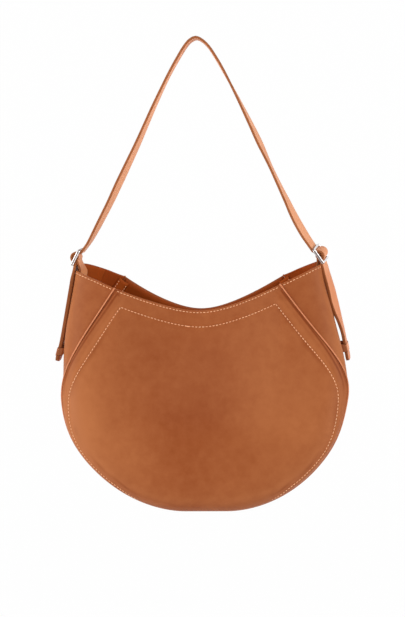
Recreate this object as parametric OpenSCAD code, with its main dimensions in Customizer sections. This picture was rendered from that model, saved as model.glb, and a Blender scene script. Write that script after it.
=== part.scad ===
// Slouchy leather shoulder bag with a rounded body, V-folded gussets and a
// buckled strap. It hangs from the crown of its strap.
// Origin: centre of the strap's crown bend. +X right, +Y back, +Z up.
// Heights named *_z are measured up from the underside of the bag.

/* [Body] */
// Width of the bag at its widest line
body_w = 340; // [310:2:370]
// Height of the widest line
widest_z = 138; // [125:1:150]
// Width of the flat stretch under the bag
bottom_flat_w = 50; // [30:2:80]
// Depth between the front and back seams
seam_depth = 54; // [44:1:70]
// How far a panel rolls out past its seams
panel_swell = 26; // [14:0.5:32]
// Height at which the panels start to lean in to the mouth
lean_z = 80; // [60:2:110]
// Thickness of the outer leather
leather_t = 2.5; // [2:0.1:3]

/* [Mouth] */
// Height of the rim in the middle, its lowest point
rim_low_z = 236; // [228:1:244]
// Width between the tops of the left and right seams
seam_top_w = 196; // [180:2:210]
// Height of the tops of the seams
seam_top_z = 262; // [256:1:270]
// Depth between the panels at the tops of the seams
mouth_depth = 60; // [48:1:70]
// Depth over both panels in the middle of the rim
rim_depth = 16; // [15:0.5:24]
// Width between the outer ends of the gussets
mouth_w = 298; // [290:1:306]
// Height of the outer ends of the gussets
mouth_end_z = 284; // [278:1:287]

/* [Seams and linings] */
// Diameter of the piping in the panel seams
piping_d = 3.2; // [2.4:0.1:3.4]
// Thickness of the inner facings
facing_t = 1.2; // [0.8:0.1:1.6]
// Depth of the stitched border under the rim
border_top = 20; // [14:1:26]
// Width of the stitched border along the seams, seen from the front
border_side = 17; // [12:1:22]
// The same where the panels roll under the bag
border_low = 9; // [7:0.5:12]
// Width of the binding over an inside seam
binding_w = 8; // [6:0.5:10]
// Thickness of the binding
binding_t = 1; // [0.8:0.1:1.2]
// Thickness of the stiffener in the bottom
board_t = 1.6; // [1.2:0.1:2.4]

/* [Closure] */
// Diameter of a hidden magnet
magnet_d = 18; // [14:0.5:20]
// Thickness of a hidden magnet
magnet_t = 2; // [1.5:0.1:2.5]
// Leather left round a magnet in its pocket
pocket_wall = 2.6; // [2:0.1:4]
// Leather over the face of a magnet
pocket_t = 1; // [0.8:0.1:1.2]

/* [Strap] */
// Height of the centre of the crown bend
crown_z = 540; // [500:5:620]
// Radius inside the crown bend
crown_r = 18.2; // [14:0.2:26]
// Width of the strap
strap_w = 24; // [20:0.5:28]
// Thickness of the strap
strap_t = 2.8; // [2.2:0.1:3]
// Angle of the strap's legs from upright
leg_angle = 26; // [23:0.5:27]
// Height at which the flexing ends of the strap begin
flex_z = 345; // [338:1:360]
// Height of the tips of the strap
tip_z = 178; // [168:1:182]

/* [Buckles] */
// How far inside the ends of the mouth the centre bars sit
buckle_inset = 3; // [1:0.5:5]
// Height of the centre bars
buckle_z = 303; // [300:1:306]
// Lean of the buckles from upright
buckle_lean = 27; // [24:0.5:30]
// Roll of the right buckle about the strap, far end outwards
right_roll = 13; // [0:1:15]
// Roll of the left buckle about the strap, far end outwards
left_roll = 0; // [0:1:15]
// Diameter of the buckle's bars
bar_d = 2.6; // [2.2:0.1:2.8]
// Distance between neighbouring cross bars
bar_pitch = 9.5; // [9.5:0.1:11]

/* [Tabs and keepers] */
// Width of a gusset tab
tab_w = 22; // [18:0.5:23]
// Thickness of one layer of a tab
tab_t = 1.4; // [1:0.1:1.5]
// Height of the sewn end of a tab
tab_end_z = 258; // [250:1:264]
// Height of the middle of a keeper
keeper_z = 190; // [188:1:205]
// Height of the band of a keeper
keeper_h = 8; // [6:0.5:12]
// Thickness of the band of a keeper
keeper_t = 1.4; // [1:0.1:1.6]

/* [Hidden] */

// Gap between leather pieces that are sewn against each other
sewn_gap = 0.3;
// Gap between the bars of a buckle and the leather round them
bar_gap = 0.3;
// Gap between the strap and the sides of its buckle
strap_side_gap = 0.4;
// Distance from a seam's corner to the edge of the panel in it
panel_edge = leather_t + sewn_gap;
// Distance from a seam's corner to the edge of the gusset in it
gusset_edge = piping_d/2 + 2*sewn_gap;
// Gap between the two gussets where they meet under the bag
gusset_join_gap = sewn_gap;

half_w = body_w/2;
flat_x = bottom_flat_w/2;
seam_top_x = seam_top_w/2;
mouth_end_x = mouth_w/2;
seam_y = seam_depth/2;
rim_rise = seam_top_z - rim_low_z;

// Fullness of the round bottom: 2 is an ellipse
bottom_fullness = 1.9;
// Shape of the rim between its lowest point and the seams
rim_power = 1.3;
// Shape of the mouth's depth along the rim
mouth_power = 1.2;
// How late a panel rolls back to its seam: higher is later and steeper
roll_power = 10;
// Half the width of the rounding in the middle of the rim
rim_round = 26;
// Shape of the nose that the folded gusset makes
nose_power = 4;
// Shape of the gusset's outer line above the widest line
fold_power = 1.35;
// Handles of the seam's upper curve, as shares of its height and its run inwards
seam_low_handle_share = 0.27;
seam_high_handle_shares = [0.42, 0.54];
// Where the stitched border turns its corner, as a share of the side seam
border_corner_share = 0.035;
// Where the border starts to narrow and is narrow, along the side seam from 0 to 2
border_narrow_shares = [0.5, 1.05];
// Reach of the gusset facing down the side seam, as a share of its upper stretch
facing_reach_share = 0.22;
// Reach of the gusset facing towards the seams, as a share of the half gusset
facing_side_share = 0.84;
// Reach of the base board round the bottom and across it
board_round_share = 0.36;
board_side_share = 0.74;
// How the rim's shape fades down a panel
rim_fade_power = 1.5;
// Length of the handles of the strap's bend above a buckle, as a share of the bend
flex_handle_share = 0.3;
// Height of the tab's bend between the mouth and the buckle
tab_bend_share = 0.5;
// Angle round the strap's tip that its last cut reaches
tip_turn = 85;

panel_rows = 30;
panel_cols = 26;
gusset_rows = 30;
gusset_cols = 12;
band_steps = 6;
round_fn = 48;
step = 0.01;

function unit(v) = v/norm(v);
function mix(a, b, s) = a + (b - a)*s;
function clamp01(s) = min(1, max(0, s));
function ease(s) = let (c = clamp01(s)) c*c*(3 - 2*c);
function bezier(p0, p1, p2, p3, s) =
    p0*pow(1 - s, 3) + 3*p1*pow(1 - s, 2)*s + 3*p2*(1 - s)*s*s + p3*pow(s, 3);

// A rounded V: 0 in the middle of the rim, 1 at the tops of the seams
function valley(x, power) =
    (pow(norm([x, rim_round]), power) - pow(rim_round, power))
        /(pow(norm([seam_top_x, rim_round]), power) - pow(rim_round, power));
// Rim of a panel: its height at a distance x from the middle
function rim_z(x) = rim_low_z + rim_rise*valley(x, rim_power);

// Side seam in the XZ plane: a runs from 0 at the rim, past 1 at the widest line, to 2 at the bottom
seam_rise = seam_top_z - widest_z;
seam_run = half_w - seam_top_x;
function upper_seam(s) = bezier(
    [half_w, widest_z],
    [half_w, widest_z + seam_low_handle_share*seam_rise],
    [half_w - seam_high_handle_shares[0]*seam_run, widest_z + seam_high_handle_shares[1]*seam_rise],
    [seam_top_x, seam_top_z], s);
function lower_seam(turn) = [
    flat_x + (half_w - flat_x)*pow(cos(turn), 2/bottom_fullness),
    widest_z*(1 - pow(sin(turn), 2/bottom_fullness))];
function seam(a) = a <= 1 ? upper_seam(1 - max(a, 0)) : lower_seam(90*(min(a, 2) - 1));
function seam_normal(a) =
    let (t = unit(seam(min(a + step, 2)) - seam(max(a - step, 0)))) [-t[1], t[0]];
function inset_seam(a, d) = seam(a) - d*seam_normal(a);

// Half the bag's depth, out to the leather's outer face, at a place on a panel
function mouth_y(x) =
    (rim_depth + (mouth_depth - rim_depth)*valley(min(abs(x), seam_top_x), mouth_power))/2;
// How far a place is from the middle of the body, where 1 is at the seam below the widest line
function outward(x, z) =
    let (side = max(abs(x) - flat_x, 0)/(fold_x(z) - flat_x),
         low = clamp01((widest_z - z)/widest_z))
    min(1, pow(pow(side, bottom_fullness) + pow(low, bottom_fullness), 1/bottom_fullness));
function half_depth(x, z) =
    mix(seam_y + panel_swell*(1 - pow(outward(x, z), roll_power)), mouth_y(x),
        ease((z - lean_z)/(rim_z(x) - lean_z)));
function on_panel(p, depth) = [p[0], depth - half_depth(p[0], p[1]), p[1]];

// Outer line of a gusset, along the middle of its fold, at a height z
function fold_x(z) =
    half_w - (half_w - mouth_end_x)*pow(clamp01((z - widest_z)/(mouth_end_z - widest_z)), fold_power);
function fold(a) =
    let (s = seam(a), z = s[1] + (mouth_end_z - seam_top_z)*pow(max(1 - a, 0), 2))
    a <= 1 ? [fold_x(z), z] : s;
// A point on the gusset's outer face: u runs from -1 at the front seam to 1 at the back seam
function on_gusset(a, u) =
    let (s = seam(a), out = (fold(a) - s)*(1 - pow(abs(u), nose_power)))
    [s[0] + out[0], half_depth(s[0], s[1])*u, s[1] + out[1]];
function gusset_normal(a, u) =
    unit(cross(on_gusset(min(a + step, 2), u) - on_gusset(max(a - step, 0), u),
               on_gusset(a, u + step) - on_gusset(a, u - step)));
function gusset_reach(a) =
    let (s = seam(a)) norm([half_depth(s[0], s[1]), nose_power*norm(fold(a) - s)]);
function in_gusset(a, u, depth) = on_gusset(a, u) - depth*gusset_normal(a, u);

// Faces of a closed slab between two grids of rows by cols points
function slab_faces(rows, cols) = let (back = rows*cols) concat(
    [for (i = [0:rows - 2], j = [0:cols - 2]) let (p = i*cols + j) each [
        [p, p + 1, p + cols + 1], [p, p + cols + 1, p + cols],
        [back + p, back + p + cols + 1, back + p + 1],
        [back + p, back + p + cols, back + p + cols + 1]]],
    [for (i = [0:rows - 2]) let (p = i*cols, q = p + cols - 1) each [
        [p, p + cols, back + p + cols], [p, back + p + cols, back + p],
        [q, back + q, back + q + cols], [q, back + q + cols, q + cols]]],
    [for (j = [0:cols - 2]) let (p = j, q = (rows - 1)*cols + j) each [
        [p, back + p, back + p + 1], [p, back + p + 1, p + 1],
        [q, q + 1, back + q + 1], [q, back + q + 1, back + q]]]);
module slab(face, back) {
    rows = len(face);
    cols = len(face[0]);
    polyhedron([for (grid = [face, back], row = grid, p = row) p], slab_faces(rows, cols));
}

// Faces of a tube: loops of points, closed round, with its two ends capped or joined
function tube_faces(loops, sides, joined) = concat(
    [for (i = [0:loops - (joined ? 1 : 2)], j = [0:sides - 1])
        let (a = i*sides, b = ((i + 1) % loops)*sides, k = (j + 1) % sides) each [
        [a + j, b + k, b + j], [a + j, a + k, b + k]]],
    joined ? [] : [
        [for (j = [sides - 1:-1:0]) j],
        [for (j = [0:sides - 1]) (loops - 1)*sides + j]]);
module tube(loops, joined = false) {
    polyhedron([for (loop = loops, p = loop) p], tube_faces(len(loops), len(loops[0]), joined));
}

module place_bag() {
    translate([0, 0, -crown_z])
        children();
}

// Panels
module panel() {
    top_x = inset_seam(0, panel_edge)[0];
    edges = [for (i = [0:panel_rows])
        i == 0 ? [top_x, rim_z(top_x)] : inset_seam(2*i/panel_rows, panel_edge)];
    grids = [for (depth = [0, leather_t]) [
        for (i = [0:panel_rows]) [
            for (j = [-panel_cols/2:panel_cols/2])
                let (edge = edges[i],
                     share = abs(2*j/panel_cols),
                     x = edge[0]*sign(j)*sin(90*share),
                     up = clamp01(1 - (edges[0][1] - edge[1])/seam_rise),
                     sag = (rim_z(edge[0]) - rim_z(x))*pow(up, rim_fade_power))
                on_panel([x, edge[1] - sag], depth)]]];
    slab(grids[0], grids[1]);
}
module front_panel() {
    color("sienna") place_bag() panel();
}
module back_panel() {
    color("sienna") place_bag() mirror([0, 1, 0]) panel();
}

// Gussets
module gusset() {
    grids = [for (depth = [0, leather_t]) [
        for (i = [0:gusset_rows]) [
            for (j = [-gusset_cols/2:gusset_cols/2])
                let (a = 2*i/gusset_rows,
                     u = 2*j/gusset_cols*(1 - gusset_edge/gusset_reach(a)))
                in_gusset(a, u, depth)]]];
    ends = [for (grid = grids) [for (p = grid[gusset_rows]) [gusset_join_gap/2, p[1], p[2]]]];
    slab(concat(grids[0], [ends[0]]), concat(grids[1], [ends[1]]));
}
module right_gusset() {
    color("chocolate") place_bag() gusset();
}
module left_gusset() {
    color("chocolate") place_bag() mirror([1, 0, 0]) gusset();
}

// Piping: one cord along the whole seam of a panel
piping_rings = 34;
piping_sides = 8;
function piping_middle(a, side) =
    let (p = inset_seam(a, sewn_gap), q = on_panel(p, sewn_gap)) [side*q[0], q[1], q[2]];
function piping_path() = concat(
    [for (i = [0:piping_rings]) piping_middle(2*i/piping_rings, -1)],
    [for (i = [piping_rings:-1:0]) piping_middle(2*i/piping_rings, 1)]);
function ring(path, i, r, sides) =
    let (last = len(path) - 1,
         t = unit(path[min(i + 1, last)] - path[max(i - 1, 0)]),
         e = unit(cross(t, [0, 1, 0])),
         f = cross(e, t))
    [for (j = [0:sides - 1]) path[i] + r*(cos(360*j/sides)*e + sin(360*j/sides)*f)];
module piping() {
    path = piping_path();
    tube([for (i = [0:len(path) - 1]) ring(path, i, piping_d/2, piping_sides)]);
}
module front_piping() {
    color("peru") place_bag() piping();
}
module back_piping() {
    color("peru") place_bag() mirror([0, 1, 0]) piping();
}

// Border facings: a frame of leather behind the stitched line of each panel
border_rows = 26;
border_cols = 3;
rim_cols = 24;
facing_edge = panel_edge + sewn_gap;
function border_section(outer, inner) = let (
    near = leather_t + 2*sewn_gap, far = near + facing_t,
    across = [for (i = [0:border_cols]) mix(outer, inner, i/border_cols)])
    concat([for (p = across) on_panel(p, near)],
           [for (i = [border_cols:-1:0]) on_panel(across[i], far)]);
function border_reach(a) = facing_edge + mix(border_side, border_low,
    ease((a - border_narrow_shares[0])/(border_narrow_shares[1] - border_narrow_shares[0])));
function side_section(share, side) = let (
    inner_a = 2*mix(border_corner_share, 1, share),
    outer = inset_seam(2*share, facing_edge),
    inner = inset_seam(inner_a, border_reach(inner_a)))
    border_section([side*outer[0], outer[1]], [side*inner[0], inner[1]]);
function rim_section(share) = let (
    outer_x = inset_seam(0, facing_edge)[0]*share,
    inner_x = inset_seam(2*border_corner_share, facing_edge + border_side)[0]*share)
    border_section([outer_x, rim_z(outer_x) - sewn_gap], [inner_x, rim_z(inner_x) - border_top]);
module border_facing() {
    tube(concat(
        [for (i = [0:border_rows]) side_section(i/border_rows, -1)],
        [for (i = [border_rows:-1:0]) side_section(i/border_rows, 1)],
        [for (i = [rim_cols - 1:-1:1]) rim_section(2*i/rim_cols - 1)]), joined = true);
}
module front_border_facing() {
    color("saddlebrown") place_bag() border_facing();
}
module back_border_facing() {
    color("saddlebrown") place_bag() mirror([0, 1, 0]) border_facing();
}

// Gusset facings, inside the folded ends of the mouth
facing_rows = 4;
facing_cols = 10;
module gusset_facing() {
    near = leather_t + sewn_gap;
    grids = [for (depth = [near, near + facing_t]) [
        for (i = [0:facing_rows]) [
            for (j = [-facing_cols/2:facing_cols/2])
                in_gusset(facing_reach_share*i/facing_rows, facing_side_share*2*j/facing_cols, depth)]]];
    slab(grids[0], grids[1]);
}
module right_gusset_facing() {
    color("saddlebrown") place_bag() gusset_facing();
}
module left_gusset_facing() {
    color("saddlebrown") place_bag() mirror([1, 0, 0]) gusset_facing();
}

// Seam bindings: a strip across the inside corner of each panel seam
binding_rings = 30;
function binding_section(a, side) = let (
    corner = on_panel(seam(a), 0),
    near = on_panel(inset_seam(a, panel_edge + binding_w/2), leather_t + facing_t + 4*sewn_gap),
    far = in_gusset(a, -(1 - (gusset_edge + binding_w/2)/gusset_reach(a)), leather_t + 2*sewn_gap),
    inward = binding_t*unit((near + far)/2 - corner),
    points = [near, near + inward, far + inward, far])
    [for (p = points) [side*p[0], p[1], p[2]]];
module seam_binding() {
    tube(concat(
        [for (i = [0:binding_rings]) binding_section(2*i/binding_rings, -1)],
        [for (i = [binding_rings:-1:0]) binding_section(2*i/binding_rings, 1)]));
}
module front_seam_binding() {
    color("maroon") place_bag() seam_binding();
}
module back_seam_binding() {
    color("maroon") place_bag() mirror([0, 1, 0]) seam_binding();
}

// Base board: a stiffener that lies on the gussets in the bottom
board_rows = 10;
board_cols = 6;
module base_board() {
    near = leather_t + sewn_gap;
    grids = [for (depth = [near, near + board_t]) [
        for (i = [-board_rows:board_rows]) [
            for (j = [-board_cols/2:board_cols/2])
                let (a = 2 - board_round_share*abs(i)/board_rows,
                     p = in_gusset(a, board_side_share*2*j/board_cols, depth))
                [sign(i)*(abs(i) < 1 ? 0 : 1)*p[0], p[1], p[2]]]]];
    color("dimgray") place_bag() slab(grids[1], grids[0]);
}

// Hidden magnets in pockets behind the middle of the rim
pocket_r = magnet_d/2 + sewn_gap + pocket_wall;
magnet_z = rim_low_z - pocket_r;
magnet_face = half_depth(0, rim_low_z) - leather_t - facing_t - 3*sewn_gap;
module across(from, to) {
    translate([0, -from, magnet_z])
        rotate([-90, 0, 0])
            linear_extrude(from - to)
                children();
}
module magnet() {
    across(magnet_face, magnet_face - magnet_t)
        circle(d = magnet_d, $fn = round_fn);
}
module magnet_pocket() {
    back = magnet_face - magnet_t - sewn_gap;
    difference() {
        across(magnet_face, back - pocket_t)
            circle(r = pocket_r, $fn = round_fn);
        across(magnet_face + sewn_gap, back)
            circle(d = magnet_d + 2*sewn_gap, $fn = round_fn);
    }
}
module front_magnet() {
    color("silver") place_bag() magnet();
}
module back_magnet() {
    color("silver") place_bag() mirror([0, 1, 0]) magnet();
}
module front_magnet_pocket() {
    color("saddlebrown") place_bag() magnet_pocket();
}
module back_magnet_pocket() {
    color("saddlebrown") place_bag() mirror([0, 1, 0]) magnet_pocket();
}

// Buckles: three round cross bars between two side rails, one at each end of the mouth
bar_r = bar_d/2;
// Radius of the side rails, a little stouter than the bars
rail_r = 1.08*bar_r;
buckle_x = mouth_end_x - buckle_inset;
buckle_side = strap_w/2 + strap_side_gap + bar_r;
down_strap = [sin(buckle_lean), -cos(buckle_lean)];
off_strap = [cos(buckle_lean), sin(buckle_lean)];
module place_buckle(roll) {
    translate([buckle_x, 0, buckle_z])
        rotate([0, -buckle_lean, 0])
            rotate([0, 0, -roll])
                children();
}
module buckle(roll) {
    place_buckle(roll) {
        for (z = [-bar_pitch, 0, bar_pitch])
            translate([0, 0, z])
                rotate([90, 0, 0])
                    cylinder(r = bar_r, h = 2*buckle_side, center = true, $fn = round_fn);
        for (y = [-buckle_side, buckle_side])
            translate([0, y, 0])
                cylinder(r = rail_r, h = 2*(bar_pitch + rail_r), center = true, $fn = round_fn);
    }
}
module right_buckle() {
    color("silver") place_bag() buckle(right_roll);
}
module left_buckle() {
    color("silver") place_bag() mirror([1, 0, 0]) buckle(left_roll);
}

// Points in the XZ plane beside a buckle: along the strap and off it, from the centre bar
function by_buckle(along, off) = [buckle_x, buckle_z] + along*down_strap + off*off_strap;
// A point turned about the strap's line through the centre bar, as the buckle is
function rolled(p, roll) = let (
    d = [p[0] - buckle_x, p[1], p[2] - buckle_z],
    k = [-down_strap[0], 0, -down_strap[1]],
    turned = d*cos(-roll) + cross(k, d)*sin(-roll) + k*(k*d)*(1 - cos(roll)))
    [buckle_x, 0, buckle_z] + turned;
// Section of a flat band at station i of a path in the XZ plane
function band_section(path, i, thick, wide, roll) = let (
    last = len(path) - 1,
    t = unit(path[min(i + 1, last)] - path[max(i - 1, 0)]),
    n = [-t[1], t[0]]*thick/2)
    [for (c = [[1, -1], [1, 1], [-1, 1], [-1, -1]])
        rolled([path[i][0] + c[0]*n[0], c[1]*wide/2, path[i][1] + c[0]*n[1]], roll)];

// Tabs: a strip folded round the centre bar and sewn inside the gusset
eye_r = bar_r + bar_gap + tab_t;
// How far the gusset's rounded nose falls back at the tab's edges
tab_nose = (mouth_end_x - seam_top_x)*pow(tab_w/mouth_depth, nose_power);
tab_depth = leather_t + facing_t + 2*sewn_gap + tab_t + 2*tab_nose;
tab_steps = 5;
function tab_path() = concat(
    [[buckle_x - tab_t/2, buckle_z - bar_r - bar_gap],
     [buckle_x - tab_t - bar_gap, buckle_z - 2*eye_r],
     [fold_x(mouth_end_z) - tab_depth, mix(mouth_end_z, buckle_z, tab_bend_share)]],
    [for (i = [0:tab_steps]) let (z = mix(mouth_end_z + tab_t, tab_end_z, i/tab_steps))
        [fold_x(z) - tab_depth, z]]);
function tab_roll(z, roll) =
    roll*ease((z - mouth_end_z)/(buckle_z - 2*eye_r - mouth_end_z));
module tab(roll) {
    path = tab_path();
    difference() {
        union() {
            tube([for (i = [0:len(path) - 1])
                band_section(path, i, 2*tab_t, tab_w, tab_roll(path[i][1], roll))]);
            place_buckle(roll)
                rotate([90, 0, 0])
                    cylinder(r = eye_r, h = tab_w, center = true, $fn = round_fn);
        }
        place_buckle(roll)
            rotate([90, 0, 0])
                cylinder(r = bar_r + bar_gap, h = tab_w + 2*tab_t, center = true, $fn = round_fn);
    }
}
module right_tab() {
    color("chocolate") place_bag() tab(right_roll);
}
module left_tab() {
    color("chocolate") place_bag() mirror([1, 0, 0]) tab(left_roll);
}

// Strap: the crown and the straight legs, down to the flexing ends
crown_middle_r = crown_r + strap_t/2;
leg_down = [sin(leg_angle), -cos(leg_angle)];
leg_top = [crown_middle_r*cos(leg_angle), crown_z + crown_middle_r*sin(leg_angle)];
leg_l = (leg_top[1] - flex_z)/cos(leg_angle);
leg_end = leg_top + leg_l*leg_down;
// Length of a leg that runs up into the crown bend
leg_lap = strap_t/4;
// How much slimmer a leg is than the crown, on each side
leg_slim = 0.05;
leg_size = [strap_t - 2*leg_slim, strap_w - 2*leg_slim, leg_l + leg_lap];
module strap_leg() {
    translate([leg_top[0], 0, leg_top[1]])
        rotate([0, -leg_angle, 0])
            translate([-leg_size[0]/2, -leg_size[1]/2, -leg_l])
                cube(leg_size);
}
module shoulder_strap() {
    color("peru") place_bag() {
        translate([0, strap_w/2, crown_z])
            rotate([90, 0, 0])
                rotate([0, 0, leg_angle])
                    rotate_extrude(angle = 180 - 2*leg_angle, $fn = 4*round_fn)
                        translate([crown_r, 0])
                            square([strap_t, strap_w]);
        strap_leg();
        mirror([1, 0, 0])
            strap_leg();
    }
}

// Strap ends: under the upper bar, over the tab's eye, under the lower bar and down the gusset
under_r = bar_r + bar_gap + strap_t/2;
over_r = eye_r + bar_gap + strap_t/2;
weave_angle = asin((under_r + over_r)/bar_pitch);
flex_join_gap = sewn_gap;
weave_start = by_buckle(-bar_pitch, -under_r);
weave_end = by_buckle(bar_pitch, -under_r);
flex_handle = flex_handle_share*norm(weave_start - leg_end);
// Distance from the gusset's face to the middle of the tail, at its top and in its keeper
tail_gap = 0.4;
tail_top_off = tail_gap + strap_t/2;
keeper_play = 0.8;
keeper_off = sewn_gap + keeper_t + keeper_play/2 + strap_t/2;
tail_top_z = mouth_end_z - strap_w/2;
function tail_share(z) = (tail_top_z - z)/(tail_top_z - keeper_z);
function tail_point(z) =
    [fold_x(z) + tail_top_off + (keeper_off - tail_top_off)*pow(tail_share(z), 2), z];
tail_handle = strap_w/4;
tail_steps = 9;
tip_steps = 6;
tip_top_z = tip_z + strap_w/2;
function arc_by_bar(along, r, from, to) = [
    for (i = [0:band_steps]) let (turn = mix(from, to, i/band_steps))
        by_buckle(along + r*cos(turn), r*sin(turn))];
function strap_end_path() = concat(
    [for (i = [0:band_steps]) bezier(
        leg_end + flex_join_gap*leg_down, leg_end + flex_handle*leg_down,
        weave_start - flex_handle/2*down_strap, weave_start, i/(band_steps + 1))],
    arc_by_bar(-bar_pitch, under_r, -90, -90 + weave_angle),
    arc_by_bar(0, over_r, 90 + weave_angle, 90 - weave_angle),
    arc_by_bar(bar_pitch, under_r, -90 - weave_angle, -90),
    [for (i = [1:band_steps - 1]) bezier(
        weave_end, weave_end + tail_handle*down_strap,
        tail_point(tail_top_z + tail_handle), tail_point(tail_top_z), i/band_steps)],
    [for (i = [0:tail_steps - 1]) tail_point(mix(tail_top_z, tip_top_z, i/tail_steps))],
    [for (i = [0:tip_steps]) tail_point(mix(tip_top_z, tip_z, sin(tip_turn*i/tip_steps)))]);
function strap_end_w(z) =
    z > tip_top_z ? strap_w : 2*sqrt(max(0, pow(strap_w/2, 2) - pow(tip_top_z - z, 2)));
function strap_end_roll(z, roll) = let (
    above = (flex_z - z)/(flex_z - buckle_z - 2*bar_pitch),
    below = (z - mouth_end_z)/(weave_end[1] - mouth_end_z))
    roll*min(ease(above), ease(below));
module strap_end(roll) {
    path = strap_end_path();
    tube([for (i = [0:len(path) - 1])
        band_section(path, i, strap_t, strap_end_w(path[i][1]), strap_end_roll(path[i][1], roll))]);
}
module right_strap_end() {
    color("burlywood") place_bag() strap_end(right_roll);
}
module left_strap_end() {
    color("burlywood") place_bag() mirror([1, 0, 0]) strap_end(left_roll);
}

// Keepers: a flat loop round each tail, sewn to the gusset
keeper_slope = atan((fold_x(keeper_z - keeper_h) - fold_x(keeper_z + keeper_h))/(2*keeper_h));
keeper_room = [strap_t + keeper_play, strap_w + 2*strap_side_gap];
module keeper() {
    translate([fold_x(keeper_z) + keeper_off, 0, keeper_z])
        rotate([0, -keeper_slope, 0])
            difference() {
                cube([keeper_room[0] + 2*keeper_t, keeper_room[1] + 2*keeper_t, keeper_h], center = true);
                cube([keeper_room[0], keeper_room[1], 2*keeper_h], center = true);
            }
}
module right_keeper() {
    color("chocolate") place_bag() keeper();
}
module left_keeper() {
    color("chocolate") place_bag() mirror([1, 0, 0]) keeper();
}

front_panel();
back_panel();
left_gusset();
right_gusset();
front_piping();
back_piping();
front_border_facing();
back_border_facing();
left_gusset_facing();
right_gusset_facing();
front_seam_binding();
back_seam_binding();
base_board();
front_magnet();
back_magnet();
front_magnet_pocket();
back_magnet_pocket();
left_tab();
right_tab();
left_buckle();
right_buckle();
left_keeper();
right_keeper();
shoulder_strap();
left_strap_end();
right_strap_end();
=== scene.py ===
import math

import bmesh
import bpy
import numpy as np
from mathutils import Matrix, Vector


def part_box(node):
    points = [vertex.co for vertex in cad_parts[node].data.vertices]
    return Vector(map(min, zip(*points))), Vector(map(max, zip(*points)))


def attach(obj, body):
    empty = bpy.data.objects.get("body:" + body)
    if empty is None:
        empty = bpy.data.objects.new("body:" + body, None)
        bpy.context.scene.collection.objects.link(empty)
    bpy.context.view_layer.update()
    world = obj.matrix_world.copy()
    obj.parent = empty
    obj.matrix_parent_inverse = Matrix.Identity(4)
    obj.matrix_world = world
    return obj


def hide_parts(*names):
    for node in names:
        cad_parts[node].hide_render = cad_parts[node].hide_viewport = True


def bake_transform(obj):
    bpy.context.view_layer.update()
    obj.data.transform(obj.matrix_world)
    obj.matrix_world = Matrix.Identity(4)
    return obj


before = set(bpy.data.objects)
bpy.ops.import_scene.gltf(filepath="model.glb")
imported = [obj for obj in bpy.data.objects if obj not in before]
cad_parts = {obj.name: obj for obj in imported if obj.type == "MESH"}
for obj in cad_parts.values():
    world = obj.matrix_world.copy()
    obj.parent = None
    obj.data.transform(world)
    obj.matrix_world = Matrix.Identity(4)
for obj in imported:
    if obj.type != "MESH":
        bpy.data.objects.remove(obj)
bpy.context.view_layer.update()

# ---- Camera
# It stands a little above the mouth and a little to the right of the bag, and leans by a degree, so the bag hangs
# slightly tilted in the frame.
VIEW_AZIMUTH, VIEW_ELEVATION, VIEW_ROLL = math.radians(4), math.radians(7.5), math.radians(1.4)
VIEW_DISTANCE = 1.3
FOCAL_LENGTH_PER_FRAME_HEIGHT = 1.734
AIM = Vector((0.0017, 0, -0.3037))

ahead = Vector((-math.sin(VIEW_AZIMUTH)*math.cos(VIEW_ELEVATION), math.cos(VIEW_AZIMUTH)*math.cos(VIEW_ELEVATION),
                -math.sin(VIEW_ELEVATION)))
level = Vector((math.cos(VIEW_AZIMUTH), math.sin(VIEW_AZIMUTH), 0))
above = level.cross(ahead)
camera = bpy.data.objects.new("camera", bpy.data.cameras.new("camera"))
bpy.context.scene.collection.objects.link(camera)
bpy.context.scene.camera = camera
camera.data.sensor_fit = "VERTICAL"
camera.data.lens = FOCAL_LENGTH_PER_FRAME_HEIGHT*camera.data.sensor_height
camera.matrix_world = Matrix.Translation(AIM - VIEW_DISTANCE*ahead) @ Matrix((
    level*math.cos(VIEW_ROLL) - above*math.sin(VIEW_ROLL),
    level*math.sin(VIEW_ROLL) + above*math.cos(VIEW_ROLL), -ahead)).transposed().to_4x4()
bpy.context.scene.view_settings.view_transform = "Standard"


# ---- Studio
# A white sweep stands behind and below the hanging bag. Two tall softboxes at its sides leave the middle of the
# panels a little darker, and a weaker one fills in from the front.
class Wire:
    """A node's output. Arithmetic on it adds Math nodes, and node() adds any other node to the same tree."""

    def __init__(self, tree, socket=None):
        self.tree, self.socket = tree, socket

    def node(self, kind, settings=None, values=None, out=0):
        made = self.tree.nodes.new("ShaderNode" + kind)
        for name, value in (settings or {}).items():
            setattr(made, name, value)
        for name, value in (values or {}).items():
            if isinstance(value, Wire):
                self.tree.links.new(value.socket, made.inputs[name])
            else:
                made.inputs[name].default_value = value
        return Wire(self.tree, made.outputs[out]) if len(made.outputs) else None

    def math(self, operation, *terms):
        return self.node("Math", {"operation": operation}, dict(enumerate(terms)))

    def __add__(self, other):
        return self.math("ADD", self, other)

    def __sub__(self, other):
        return self.math("SUBTRACT", self, other)

    def __rsub__(self, other):
        return self.math("SUBTRACT", other, self)

    def __mul__(self, other):
        return self.math("MULTIPLY", self, other)

    __radd__, __rmul__ = __add__, __mul__

    def ease(self, low, high):
        """0 below low, 1 above high, smooth between."""
        return self.node("MapRange", {"interpolation_type": "SMOOTHSTEP"},
                         {"Value": self, "From Min": low, "From Max": high})

    def blend(self, first, second):
        """A colour between two colours, by this share."""
        return self.node("Mix", {"data_type": "RGBA"}, {0: self, 6: first, 7: second}, out=2)


def tree_of(owner):
    owner.use_nodes = True
    owner.node_tree.nodes.clear()
    return Wire(owner.node_tree)


def seen_directly(net):
    """1 for rays that show the surroundings, straight, mirrored or through glass, 0 for rays that light things."""
    path = net.node("LightPath")
    rays = [Wire(net.tree, path.socket.node.outputs[name])
            for name in ("Is Camera Ray", "Is Glossy Ray", "Is Transmission Ray")]
    return net.math("MAXIMUM", net.math("MAXIMUM", rays[0], rays[1]), rays[2])


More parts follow.
